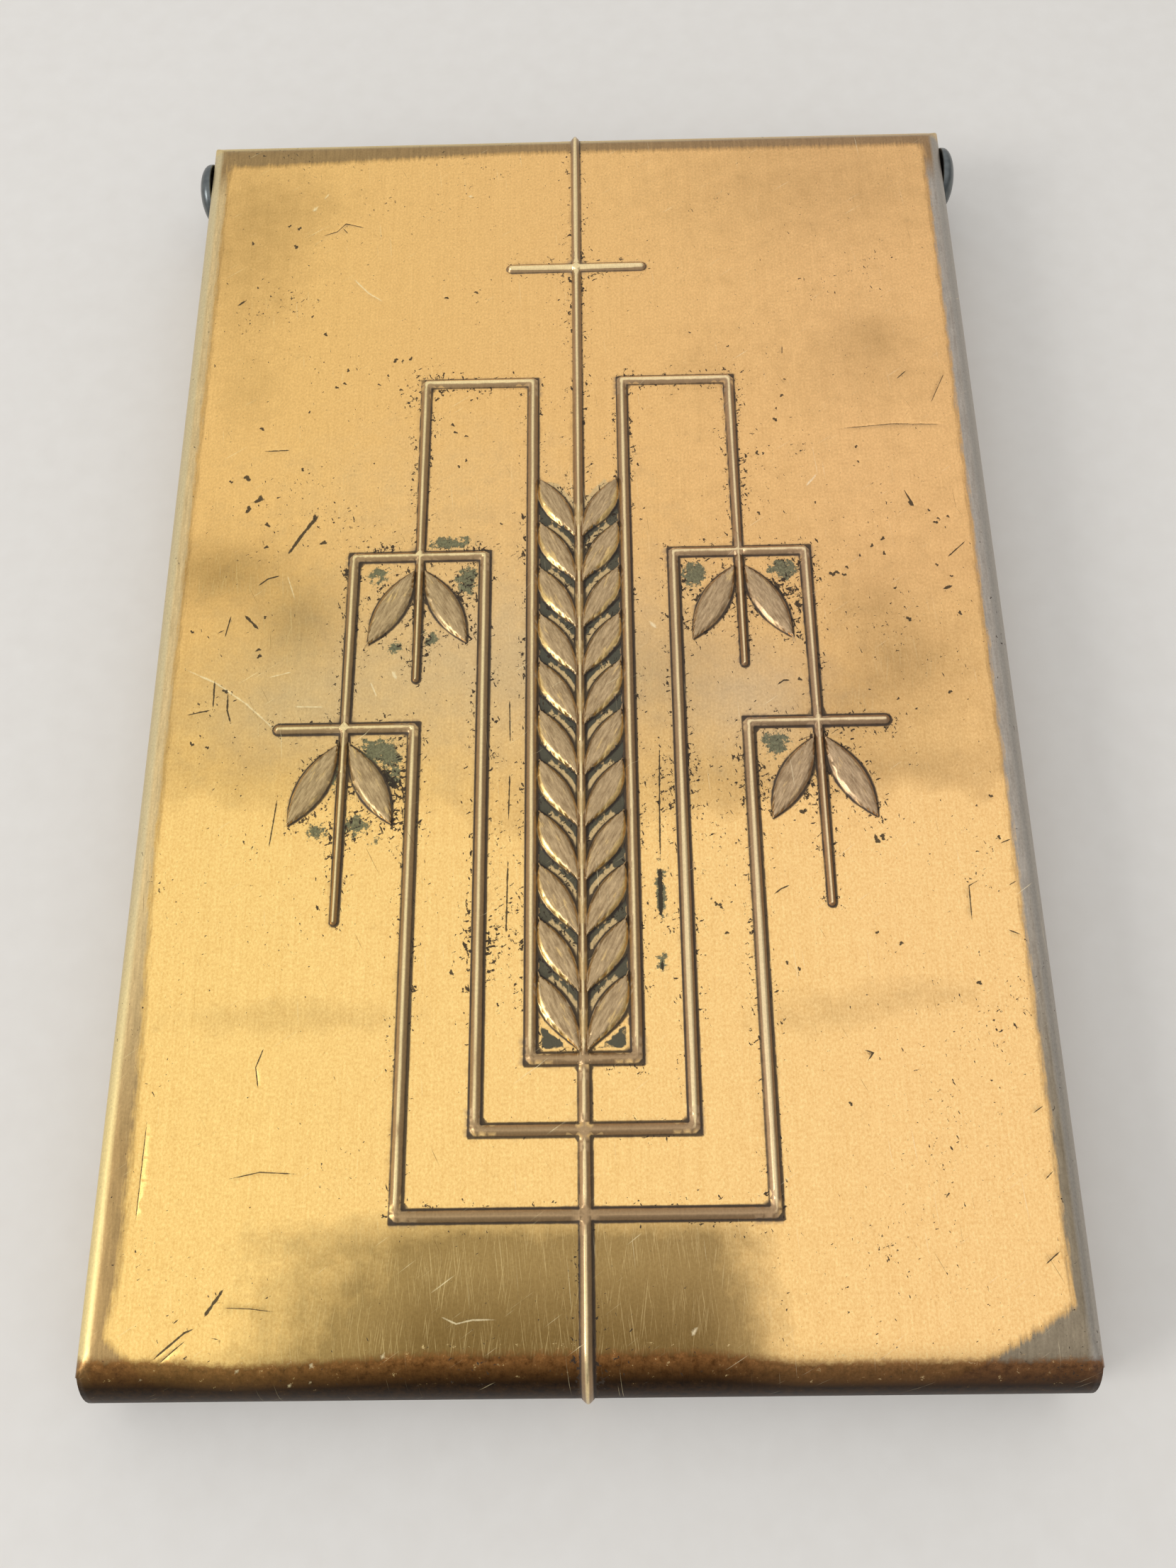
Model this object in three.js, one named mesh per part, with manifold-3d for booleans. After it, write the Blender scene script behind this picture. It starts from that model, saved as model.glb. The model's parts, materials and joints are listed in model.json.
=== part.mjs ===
// Desk memo case: a die-struck brass cover turns on two rivets at the far end of a folded brass tray,
// and the tray holds a stack of celluloid writing leaves under a screwed bar.
// Millimetres. X runs across the case, Y away from its front lip, Z up, and the origin lies on the
// table under the middle of the case.

import * as THREE from 'three';
import { mergeVertices } from 'three/addons/utils/BufferGeometryUtils.js';
import Module from 'manifold-3d';

const wasm = await Module();
wasm.setup();

// Cover sheet and its outline
const CASE_WIDTH = 90; // over the outer faces of the side flanges
const CASE_LENGTH = 142; // from the far face to the front of the lip
const COVER_SHEET = 0.8;
const SIDE_BEND = 2.2; // outer radius of the bend into a side flange
const FAR_BEND = 2.2; // outer radius of the bend into the far edge
const LIP_ROLL = 5.4; // outer radius of the roll into the front lip
const FAR_EDGE_DROP = 3.4; // from the plate's face down to the end of the far edge
const LIP_GROUND_GAP = 0.4; // under the front lip
const FLANGE_GROUND_GAP = 1.0; // under the side flanges
const LIP_INSET = 0.4; // each end of the lip lies this far inside the flanges' outer faces
const LIP_CORNER = 2.0; // radius of the lip's lower corners
const CORNER_NOTCH = 2.4; // open corner between a flange's front end and the front of the lip

// Relief struck into the cover, as half-widths from the middle line
const BEAD_WIDTH = 1.4;
const BEAD_HEIGHT = 0.5;
const CROSS_HALF = 7.6;
const WHEAT_FRAME_HALF = 5.0;
const MIDDLE_FRAME_HALF = 10.1;
const OUTER_FRAME_HALF = 17.1;
const DROP_LINE_HALF = 24.2;
const ARM_HALF = 31.0;

// Rows of the relief, measured from the far face
const CROSS_ROW = 20.8;
const UPPER_ROW = 36.9;
const MIDDLE_ROW = 59.2;
const MIDDLE_DROP_ROW = 73.7;
const LOWER_ROW = 79.1;
const LOWER_DROP_ROW = 99.4;

// Feet of the three frames, measured from the front of the lip
const WHEAT_FRAME_FOOT = 28.6;
const MIDDLE_FRAME_FOOT = 22.3;
const OUTER_FRAME_FOOT = 14.8;

// Wheat ear and hanging leaves
const WHEAT_PAIRS = 11;
const WHEAT_PITCH = 5.5;
const WHEAT_LEAF_LENGTH = 8.2;
const WHEAT_LEAF_WIDTH = 2.9;
const WHEAT_LEAF_SPREAD = 27; // degrees between a wheat leaf and the stem
const SPRIG_LEAF_LENGTH = 10.1;
const SPRIG_LEAF_WIDTH = 3.3;
const SPRIG_LEAF_SPREAD = 27; // degrees between a hanging leaf and its drop line
const SPRIG_LEAF_DROP = 1.8; // from the bar's middle line down to the leaf's root
const LEAF_ROOT_OFFSET = 0.6; // from the stem's middle line out to a leaf's root
const LEAF_RISE = 0.5;
const LEAF_CROWN = 0.45; // the leaf's flat crown as a share of its outline

// Stack inside the case, from the table up
const FELT_THICKNESS = 1.0;
const TRAY_SHEET = 0.8;
const LEAF_COUNT = 6;
const LEAF_THICKNESS = 0.5;
const LEAF_GAP = 0.1; // air under each celluloid leaf
const BAR_THICKNESS = 1.2;
const SCREW_HEAD_HEIGHT = 1.0;
const HEAD_ROOM = 2.5; // between the screw heads and the cover's underside

// Tray
const TRAY_BEND = 1.6; // outer radius of the tray's lower edges
const TRAY_FRONT_GAP = 0.7; // between the lip's inner face and the tray
const TRAY_FRONT_HEIGHT = 3.2; // of the low front wall, over the tray's underside
const COVER_SEAT_GAP = 0.3; // between the side walls and the cover
const SWING_CLEARANCE = 0.4; // between the tray's back wall and the turning far edge
const FELT_INSET = 1.5; // of the felt's outline, inside the flat of the tray's floor
const FELT_CORNER = 3.0;

// Hinge
const PIVOT_FROM_FAR = 4.2; // from the far face to the pivot
const PIVOT_DROP = 4.6; // from the plate's face down to the pivot
const EAR_CLEARANCE = 0.3; // between the turning cover and what is fixed round the pivot
const RIVET_HEAD_RADIUS = 3.65;
const RIVET_HEAD_HEIGHT = 1.9;
const RIVET_HEAD_RIM = 0.4; // straight rim under the dome
const RIVET_SHANK_RADIUS = 1.5;
const RIVET_TAIL_SPREAD = 0.7; // of the peened tail, past the shank
const RIVET_TAIL_HEIGHT = 0.7;
const WASHER_THICKNESS = 0.5;
const BURR_INSET = 0.4; // of the burr's rim, inside the ear's rim
const BURR_THICKNESS = 0.8;
const HOLE_CLEARANCE = 0.15; // round a rivet's shank
const SIDE_PLAY = 0.1; // between neighbours along a rivet

// Binding
const LEAF_SIDE_GAP = 1.0; // between a leaf and the tray's side wall
const LEAF_FRONT_GAP = 1.2; // between a leaf and the tray's front wall
const LEAF_BACK_GAP = 0.5; // between a leaf and the tray's back wall
const LEAF_CORNER = 4.0;
const BAR_WIDTH = 9.0;
const BAR_END_GAP = 2.0; // between the bar's ends and the leaves' side edges
const BAR_CORNER = 2.0;
const SCREW_SPACING = 50;
const SCREW_HEAD_RADIUS = 2.3;
const SCREW_SHANK_RADIUS = 0.9;
const SCREW_SLOT_WIDTH = 0.6;
const SCREW_SLOT_DEPTH = 0.5;
const POST_RADIUS = 1.7;
const POST_CLEARANCE = 0.25; // round a post in the leaves
const SCREW_CLEARANCE = 0.2; // round a screw's shank and under its tip

// Fineness of the round shapes, and how far a cutter reaches past what it cuts
const ROUND_SEGMENTS = 24;
const ARC_STEPS = 4;
const BEAD_FACETS = 4;
const LEAF_STEPS = 5;
const OVERCUT = 2;

// Places that follow from the sizes above
const HALF_WIDTH = CASE_WIDTH / 2;
const FAR_FACE = CASE_LENGTH / 2;
const FRONT_FACE = -CASE_LENGTH / 2;
const ROLL_START = FRONT_FACE + LIP_ROLL;
const FLANGE_FRONT = FRONT_FACE + CORNER_NOTCH;
const FLANGE_INNER = HALF_WIDTH - COVER_SHEET;
const LIP_HALF = HALF_WIDTH - LIP_INSET;

const TRAY_UNDER = FELT_THICKNESS;
const TRAY_FLOOR = TRAY_UNDER + TRAY_SHEET;
const LEAF_PITCH = LEAF_THICKNESS + LEAF_GAP;
const STACK_TOP = TRAY_FLOOR + LEAF_COUNT * LEAF_PITCH;
const BAR_UNDER = STACK_TOP + LEAF_GAP;
const BAR_TOP = BAR_UNDER + BAR_THICKNESS;
const COVER_UNDER = BAR_TOP + SCREW_HEAD_HEIGHT + HEAD_ROOM;
const COVER_TOP = COVER_UNDER + COVER_SHEET;

const PIVOT_Y = FAR_FACE - PIVOT_FROM_FAR;
const PIVOT_Z = COVER_TOP - PIVOT_DROP;
const FAR_CORNER_REACH =
  Math.hypot(PIVOT_FROM_FAR - FAR_BEND, PIVOT_DROP - FAR_BEND) + FAR_BEND + BEAD_HEIGHT;
const FAR_EDGE_REACH = Math.hypot(PIVOT_FROM_FAR + BEAD_HEIGHT, PIVOT_DROP - FAR_EDGE_DROP);
const SWING_REACH = Math.max(FAR_CORNER_REACH, FAR_EDGE_REACH);

const TRAY_HALF = FLANGE_INNER - WASHER_THICKNESS - 2 * SIDE_PLAY;
const TRAY_INNER = TRAY_HALF - TRAY_SHEET;
const TRAY_FRONT = FRONT_FACE + COVER_SHEET + TRAY_FRONT_GAP;
const TRAY_BACK = PIVOT_Y - SWING_REACH - SWING_CLEARANCE;
const WASHER_OUTER = FLANGE_INNER - SIDE_PLAY;
const BURR_OUTER = TRAY_INNER - SIDE_PLAY;
const TAIL_OUTER = BURR_OUTER - BURR_THICKNESS - SIDE_PLAY;
const TRAY_TOP = COVER_UNDER - bendDrop(TRAY_HALF) - COVER_SEAT_GAP;
const EAR_RADIUS = pivotRoom(TRAY_HALF);
const WASHER_RADIUS = pivotRoom(WASHER_OUTER);
const BURR_RADIUS = EAR_RADIUS - BURR_INSET;
const RIVET_TAIL_RADIUS = RIVET_SHANK_RADIUS + RIVET_TAIL_SPREAD;
const EAR_UNDER = PIVOT_Z - PIVOT_DROP + FAR_EDGE_DROP + EAR_CLEARANCE;

const LEAF_BACK = TRAY_BACK - TRAY_SHEET - LEAF_BACK_GAP;
const LEAF_FRONT = TRAY_FRONT + TRAY_SHEET + LEAF_FRONT_GAP;
const LEAF_HALF = TRAY_INNER - LEAF_SIDE_GAP;
const BAR_HALF = LEAF_HALF - BAR_END_GAP;
const BAR_MIDDLE = LEAF_BACK - BAR_WIDTH / 2;
const SIDES = [['left', -1], ['right', 1]];

// How far the side bend's inner face lies below the plate's underside, at a distance from the middle
function bendDrop(x) {
  const radius = SIDE_BEND - COVER_SHEET;
  const reach = Math.max(0, x - (HALF_WIDTH - SIDE_BEND));
  return radius - Math.sqrt(radius ** 2 - reach ** 2);
}

// Largest radius round the pivot that stays clear of the turning cover, at a distance from the middle
function pivotRoom(x) {
  const room = Math.min(PIVOT_FROM_FAR, PIVOT_DROP - bendDrop(x));
  return room - COVER_SHEET - EAR_CLEARANCE;
}

// Finishes
const coverBrass = new THREE.MeshStandardMaterial({ color: 0xcf9f4d, roughness: 0.35, metalness: 1 });
const trayBrass = new THREE.MeshStandardMaterial({ color: 0xb58a45, roughness: 0.45, metalness: 1 });
const rivetSteel = new THREE.MeshStandardMaterial({ color: 0x3d434a, roughness: 0.35, metalness: 1 });
const baizeFelt = new THREE.MeshStandardMaterial({ color: 0x2f4a34, roughness: 1, metalness: 0 });
const ivoryCelluloid = new THREE.MeshStandardMaterial({ color: 0xeee2c4, roughness: 0.4, metalness: 0 });

// Basic solids

function solid(geometry) {
  geometry.deleteAttribute('normal');
  geometry.deleteAttribute('uv');
  const merged = mergeVertices(geometry);
  const corners = merged.index.array;
  const triVerts = [];
  for (let i = 0; i < corners.length; i += 3) {
    const [a, b, c] = corners.slice(i, i + 3);
    if (a !== b && b !== c && c !== a) triVerts.push(a, b, c);
  }
  return new wasm.Manifold(new wasm.Mesh({
    numProp: 3,
    vertProperties: Float32Array.from(merged.attributes.position.array),
    triVerts: Uint32Array.from(triVerts),
  }));
}

function extruded(shape, depth) {
  return new THREE.ExtrudeGeometry(shape, { depth, bevelEnabled: false, curveSegments: ARC_STEPS });
}

// Prism whose outline is drawn in Y and Z
function prismAlongX(shape, low, high) {
  const turn = new THREE.Matrix4().makeBasis(
    new THREE.Vector3(0, 1, 0), new THREE.Vector3(0, 0, 1), new THREE.Vector3(1, 0, 0));
  return solid(extruded(shape, high - low).applyMatrix4(turn).translate(low, 0, 0));
}

// Prism whose outline is drawn in X and Z
function prismAlongY(shape, low, high) {
  const turn = new THREE.Matrix4().makeBasis(
    new THREE.Vector3(1, 0, 0), new THREE.Vector3(0, 0, 1), new THREE.Vector3(0, -1, 0));
  return solid(extruded(shape, high - low).applyMatrix4(turn).translate(0, high, 0));
}

// Prism whose outline is drawn in X and Y
function prismAlongZ(shape, low, high) {
  return solid(extruded(shape, high - low).translate(0, 0, low));
}

function block(xLow, xHigh, yLow, yHigh, zLow, zHigh) {
  const box = new THREE.BoxGeometry(xHigh - xLow, yHigh - yLow, zHigh - zLow);
  return solid(box.translate((xLow + xHigh) / 2, (yLow + yHigh) / 2, (zLow + zHigh) / 2));
}

// Round bar along X through the pivot line, or upright at a place in plan
function pivotBar(radius, xLow, xHigh) {
  const bar = new THREE.CylinderGeometry(radius, radius, xHigh - xLow, ROUND_SEGMENTS);
  return solid(bar.rotateZ(Math.PI / 2).translate((xLow + xHigh) / 2, PIVOT_Y, PIVOT_Z));
}

function uprightBar(radius, x, y, zLow, zHigh) {
  const bar = new THREE.CylinderGeometry(radius, radius, zHigh - zLow, ROUND_SEGMENTS);
  return solid(bar.rotateX(Math.PI / 2).translate(x, y, (zLow + zHigh) / 2));
}

// Solid through rings of points, each ring counter-clockwise seen from the last ring's side
function loft(rings) {
  const count = rings[0].length;
  const triVerts = [];
  for (let ring = 0; ring + 1 < rings.length; ring += 1) {
    for (let k = 0; k < count; k += 1) {
      const next = (k + 1) % count;
      const [a, b] = [ring * count + k, ring * count + next];
      triVerts.push(a, b, b + count, a, b + count, a + count);
    }
  }
  const last = (rings.length - 1) * count;
  for (let k = 1; k + 1 < count; k += 1) {
    triVerts.push(0, k + 1, k, last, last + k, last + k + 1);
  }
  const geometry = new THREE.BufferGeometry().setFromPoints(rings.flat());
  geometry.setIndex(triVerts);
  return solid(geometry);
}

// Outline with rounded corners, drawn from its low corner to its high corner
function roundedRectangle(xLow, xHigh, yLow, yHigh, corner) {
  const shape = new THREE.Shape();
  shape.absarc(xHigh - corner, yLow + corner, corner, -Math.PI / 2, 0, false);
  shape.absarc(xHigh - corner, yHigh - corner, corner, 0, Math.PI / 2, false);
  shape.absarc(xLow + corner, yHigh - corner, corner, Math.PI / 2, Math.PI, false);
  shape.absarc(xLow + corner, yLow + corner, corner, Math.PI, Math.PI * 1.5, false);
  return shape;
}

// Section of a pan, open upwards, with its two lower corners bent
function panSection(low, high, floor, top, bend) {
  const shape = new THREE.Shape();
  shape.moveTo(high, top);
  shape.lineTo(low, top);
  shape.absarc(low + bend, floor + bend, bend, Math.PI, Math.PI * 1.5, false);
  shape.absarc(high - bend, floor + bend, bend, Math.PI * 1.5, Math.PI * 2, false);
  return shape;
}

function piece(name, body, material) {
  const { vertProperties, triVerts } = body.getMesh();
  const geometry = new THREE.BufferGeometry();
  geometry.setAttribute('position', new THREE.BufferAttribute(vertProperties, 3));
  geometry.setIndex(new THREE.BufferAttribute(triVerts, 1));
  geometry.computeVertexNormals();
  const mesh = new THREE.Mesh(geometry, material);
  mesh.name = name;
  return mesh;
}

// Cover: the sections along and across, drawn in from the outer face

function coverAlong(inset, bottom) {
  const shape = new THREE.Shape();
  shape.moveTo(FRONT_FACE + inset, bottom);
  shape.lineTo(FAR_FACE - inset, bottom);
  shape.absarc(FAR_FACE - FAR_BEND, COVER_TOP - FAR_BEND, FAR_BEND - inset, 0, Math.PI / 2, false);
  shape.absarc(ROLL_START, COVER_TOP - LIP_ROLL, LIP_ROLL - inset, Math.PI / 2, Math.PI, false);
  return shape;
}

function coverAcross(inset, bottom) {
  const bendX = HALF_WIDTH - SIDE_BEND;
  const bendZ = COVER_TOP - SIDE_BEND;
  const shape = new THREE.Shape();
  shape.moveTo(inset - HALF_WIDTH, bottom);
  shape.lineTo(HALF_WIDTH - inset, bottom);
  shape.absarc(bendX, bendZ, SIDE_BEND - inset, 0, Math.PI / 2, false);
  shape.absarc(-bendX, bendZ, SIDE_BEND - inset, Math.PI / 2, Math.PI, false);
  return shape;
}

function coverMould(inset, bottom) {
  const along = prismAlongX(coverAlong(inset, bottom), -HALF_WIDTH - OVERCUT, HALF_WIDTH + OVERCUT);
  const across = prismAlongY(coverAcross(inset, bottom), FRONT_FACE - OVERCUT, FAR_FACE + OVERCUT);
  return along.intersect(across);
}

function coverSheet() {
  const [wide, over] = [HALF_WIDTH + OVERCUT, COVER_TOP + OVERCUT];
  const shell = coverMould(0, LIP_GROUND_GAP).subtract(coverMould(COVER_SHEET, LIP_GROUND_GAP - OVERCUT));

  // The far edge ends above the pivot, so that it can swing under the tray's ears
  const farTrim = block(-FLANGE_INNER, FLANGE_INNER, PIVOT_Y, FAR_FACE + OVERCUT,
    -OVERCUT, COVER_TOP - FAR_EDGE_DROP);

  // The flanges end above the table, and are rounded about the pivot
  const flangeTrim = block(-wide, wide, FLANGE_FRONT, FAR_FACE + OVERCUT, -OVERCUT, FLANGE_GROUND_GAP);
  const farCorners = block(-wide, wide, PIVOT_Y, FAR_FACE + OVERCUT, -OVERCUT, PIVOT_Z)
    .subtract(pivotBar(PIVOT_Z - FLANGE_GROUND_GAP, -wide - OVERCUT, wide + OVERCUT));

  // The lip ends just inside the flanges' outer faces, with an open corner beside it
  const lipOutline = panSection(-LIP_HALF, LIP_HALF, LIP_GROUND_GAP, over + OVERCUT, LIP_CORNER);
  const lipEnds = block(-wide, wide, FRONT_FACE - OVERCUT, FLANGE_FRONT, -OVERCUT, over)
    .subtract(prismAlongY(lipOutline, FRONT_FACE - 2 * OVERCUT, FLANGE_FRONT + OVERCUT));

  const rivetHoles = pivotBar(RIVET_SHANK_RADIUS + HOLE_CLEARANCE, -wide, wide);
  return [farTrim, flangeTrim, farCorners, lipEnds, rivetHoles]
    .reduce((sheet, cutter) => sheet.subtract(cutter), shell);
}

// Relief: half-round beads, rooted in the middle of the sheet

const BEAD_ROOT = COVER_SHEET / 2;

function beadSection() {
  const points = [[-BEAD_WIDTH / 2, -BEAD_ROOT], [BEAD_WIDTH / 2, -BEAD_ROOT]];
  for (let k = 0; k <= BEAD_FACETS; k += 1) {
    const angle = (Math.PI * k) / BEAD_FACETS;
    points.push([Math.cos(angle) * BEAD_WIDTH / 2, Math.sin(angle) * BEAD_HEIGHT]);
  }
  return points;
}

function beadShape(middle) {
  return new THREE.Shape(beadSection().map(([u, h]) => new THREE.Vector2(middle + u, COVER_TOP + h)));
}

function rowY(row) {
  return FAR_FACE - row;
}

// Bead from one row to another, at a distance from the middle line
function lengthwiseBead(x, row, endRow) {
  const half = BEAD_WIDTH / 2;
  return prismAlongY(beadShape(x), rowY(endRow) - half, rowY(row) + half);
}

// Bead across, at a row
function crosswiseBead(row, xLow, xHigh) {
  const half = BEAD_WIDTH / 2;
  return prismAlongX(beadShape(rowY(row)), xLow - half, xHigh + half);
}

// Stem that follows the cover's section from the far edge over the plate and the lip
function stem() {
  const lines = beadSection().map(([u, h]) => {
    const [lipEnd, ...outline] = coverAlong(-h, COVER_TOP - FAR_EDGE_DROP).getPoints(ARC_STEPS);
    lipEnd.y = LIP_GROUND_GAP;
    return [...outline, lipEnd].map(({ x, y }) => new THREE.Vector3(u, x, y));
  });
  return loft(lines[0].map((_, k) => lines.map((line) => line[k])));
}

// Almond leaf from its root, turned from +Y by an angle about Z
function reliefLeaf(length, width, x, y, turn) {
  const outline = new THREE.Shape();
  outline.moveTo(0, 0);
  outline.quadraticCurveTo(width, length / 2, 0, length);
  outline.quadraticCurveTo(-width, length / 2, 0, 0);
  const points = outline.getPoints(LEAF_STEPS).slice(0, -1);
  const ring = (share, z) => points.map((point) =>
    new THREE.Vector3(point.x * share, length / 2 + (point.y - length / 2) * share, z)
      .applyAxisAngle(new THREE.Vector3(0, 0, 1), turn)
      .add(new THREE.Vector3(x, y, COVER_TOP)));
  return loft([ring(1, -BEAD_ROOT), ring(1, 0), ring(LEAF_CROWN, LEAF_RISE)]);
}

function reliefSolids() {
  const wheatFoot = CASE_LENGTH - WHEAT_FRAME_FOOT;
  const middleFoot = CASE_LENGTH - MIDDLE_FRAME_FOOT;
  const outerFoot = CASE_LENGTH - OUTER_FRAME_FOOT;
  const wheatSpread = THREE.MathUtils.degToRad(WHEAT_LEAF_SPREAD);
  const sprigSpread = THREE.MathUtils.degToRad(SPRIG_LEAF_SPREAD);

  const solids = [
    stem(),
    crosswiseBead(CROSS_ROW, -CROSS_HALF, CROSS_HALF),
    crosswiseBead(wheatFoot, -WHEAT_FRAME_HALF, WHEAT_FRAME_HALF),
    crosswiseBead(middleFoot, -MIDDLE_FRAME_HALF, MIDDLE_FRAME_HALF),
    crosswiseBead(outerFoot, -OUTER_FRAME_HALF, OUTER_FRAME_HALF),
  ];

  for (const [, side] of SIDES) {
    const across = (row, inner, outer) =>
      crosswiseBead(row, Math.min(side * inner, side * outer), Math.max(side * inner, side * outer));
    solids.push(
      across(UPPER_ROW, WHEAT_FRAME_HALF, OUTER_FRAME_HALF),
      across(MIDDLE_ROW, MIDDLE_FRAME_HALF, DROP_LINE_HALF),
      across(LOWER_ROW, OUTER_FRAME_HALF, ARM_HALF),
      lengthwiseBead(side * WHEAT_FRAME_HALF, UPPER_ROW, wheatFoot),
      lengthwiseBead(side * MIDDLE_FRAME_HALF, MIDDLE_ROW, middleFoot),
      lengthwiseBead(side * OUTER_FRAME_HALF, UPPER_ROW, MIDDLE_DROP_ROW),
      lengthwiseBead(side * OUTER_FRAME_HALF, LOWER_ROW, outerFoot),
      lengthwiseBead(side * DROP_LINE_HALF, MIDDLE_ROW, LOWER_DROP_ROW),
    );

    for (let pair = 0; pair < WHEAT_PAIRS; pair += 1) {
      const root = rowY(wheatFoot - BEAD_WIDTH - pair * WHEAT_PITCH);
      solids.push(reliefLeaf(WHEAT_LEAF_LENGTH, WHEAT_LEAF_WIDTH,
        side * LEAF_ROOT_OFFSET, root, -side * wheatSpread));
    }

    for (const [line, row] of [[OUTER_FRAME_HALF, MIDDLE_ROW], [DROP_LINE_HALF, LOWER_ROW]]) {
      for (const [, hand] of SIDES) {
        solids.push(reliefLeaf(SPRIG_LEAF_LENGTH, SPRIG_LEAF_WIDTH,
          side * line + hand * LEAF_ROOT_OFFSET, rowY(row + SPRIG_LEAF_DROP),
          Math.PI + hand * sprigSpread));
      }
    }
  }
  return solids;
}

function cover() {
  return reliefSolids().reduce((sheet, raised) => sheet.add(raised), coverSheet());
}

// Tray: folded pan with a low front wall, and an ear behind each side wall for the rivet

function trayMould(inset, top) {
  const bend = TRAY_BEND - inset;
  const floor = TRAY_UNDER + inset;
  const along = panSection(TRAY_FRONT + inset, TRAY_BACK - inset, floor, top, bend);
  const across = panSection(inset - TRAY_HALF, TRAY_HALF - inset, floor, top, bend);
  return prismAlongX(along, -HALF_WIDTH, HALF_WIDTH).intersect(prismAlongY(across, FRONT_FACE, FAR_FACE));
}

function trayEar(side) {
  const [low, high] = side > 0 ? [TRAY_INNER, TRAY_HALF] : [-TRAY_HALF, -TRAY_INNER];
  const arm = block(low, high, TRAY_BACK - TRAY_SHEET, PIVOT_Y, EAR_UNDER, TRAY_TOP);
  return arm.add(pivotBar(EAR_RADIUS, low, high));
}

function baseTray() {
  const underRoll = prismAlongX(coverAlong(COVER_SHEET + TRAY_FRONT_GAP, 0), -HALF_WIDTH, HALF_WIDTH);
  const pan = trayMould(0, TRAY_TOP).intersect(underRoll).subtract(trayMould(TRAY_SHEET, COVER_TOP));
  const frontOpening = block(-TRAY_INNER, TRAY_INNER, FRONT_FACE, TRAY_FRONT + LIP_ROLL,
    TRAY_UNDER + TRAY_FRONT_HEIGHT, COVER_TOP);
  const rivetHoles = pivotBar(RIVET_SHANK_RADIUS + HOLE_CLEARANCE, -HALF_WIDTH, HALF_WIDTH);
  return pan.subtract(frontOpening).add(trayEar(1)).add(trayEar(-1)).subtract(rivetHoles);
}

function baseFelt() {
  const inset = TRAY_BEND + FELT_INSET;
  const outline = roundedRectangle(inset - TRAY_HALF, TRAY_HALF - inset,
    TRAY_FRONT + inset, TRAY_BACK - inset, FELT_CORNER);
  return prismAlongZ(outline, 0, FELT_THICKNESS);
}

// Hinge: turned pieces on the pivot line, drawn as radius and distance from the middle of the case

function turnedOnPivot(profile, side) {
  const points = profile.map(([radius, x]) => new THREE.Vector2(radius, x));
  const turned = new THREE.LatheGeometry(points, ROUND_SEGMENTS);
  return solid(turned.rotateZ(-side * Math.PI / 2).translate(0, PIVOT_Y, PIVOT_Z));
}

function hingeRivet(side) {
  const seat = HALF_WIDTH + SIDE_PLAY;
  const dome = [];
  for (let k = 0; k <= ARC_STEPS; k += 1) {
    const angle = (Math.PI / 2) * (1 - k / ARC_STEPS);
    dome.push([RIVET_HEAD_RADIUS * Math.sin(angle),
      seat + RIVET_HEAD_RIM + (RIVET_HEAD_HEIGHT - RIVET_HEAD_RIM) * Math.cos(angle)]);
  }
  return turnedOnPivot([
    [0, TAIL_OUTER - RIVET_TAIL_HEIGHT],
    [RIVET_TAIL_RADIUS, TAIL_OUTER - RIVET_TAIL_HEIGHT],
    [RIVET_TAIL_RADIUS, TAIL_OUTER],
    [RIVET_SHANK_RADIUS, TAIL_OUTER],
    [RIVET_SHANK_RADIUS, seat],
    [RIVET_HEAD_RADIUS, seat],
    ...dome,
  ], side);
}

function ringOnPivot(radius, inner, outer, side) {
  const bore = RIVET_SHANK_RADIUS + HOLE_CLEARANCE;
  return turnedOnPivot([[bore, inner], [radius, inner], [radius, outer], [bore, outer], [bore, inner]], side);
}

function hingeWasher(side) {
  return ringOnPivot(WASHER_RADIUS, WASHER_OUTER - WASHER_THICKNESS, WASHER_OUTER, side);
}

function rivetBurr(side) {
  return ringOnPivot(BURR_RADIUS, BURR_OUTER - BURR_THICKNESS, BURR_OUTER, side);
}

// Binding: leaves on two posts, a bar over their far ends, and a screw into each post

function screwX(side) {
  return side * SCREW_SPACING / 2;
}

function celluloidLeaf(number) {
  const under = TRAY_FLOOR + LEAF_GAP + number * LEAF_PITCH;
  const outline = roundedRectangle(-LEAF_HALF, LEAF_HALF, LEAF_FRONT, LEAF_BACK, LEAF_CORNER);
  const holes = SIDES.map(([, side]) => uprightBar(POST_RADIUS + POST_CLEARANCE, screwX(side), BAR_MIDDLE,
    under - OVERCUT, under + LEAF_THICKNESS + OVERCUT));
  const sheet = prismAlongZ(outline, under, under + LEAF_THICKNESS);
  return holes.reduce((leaf, hole) => leaf.subtract(hole), sheet);
}

function screwBore(side, zLow, zHigh) {
  return uprightBar(SCREW_SHANK_RADIUS + SCREW_CLEARANCE, screwX(side), BAR_MIDDLE, zLow, zHigh);
}

function bindingBar() {
  const outline = roundedRectangle(-BAR_HALF, BAR_HALF,
    BAR_MIDDLE - BAR_WIDTH / 2, BAR_MIDDLE + BAR_WIDTH / 2, BAR_CORNER);
  const bar = prismAlongZ(outline, BAR_UNDER, BAR_TOP);
  return SIDES.reduce((body, [, side]) =>
    body.subtract(screwBore(side, BAR_UNDER - OVERCUT, BAR_TOP + OVERCUT)), bar);
}

function bindingPost(side) {
  const post = uprightBar(POST_RADIUS, screwX(side), BAR_MIDDLE, TRAY_FLOOR, BAR_UNDER);
  return post.subtract(screwBore(side, TRAY_FLOOR + TRAY_SHEET, BAR_UNDER + OVERCUT));
}

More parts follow.
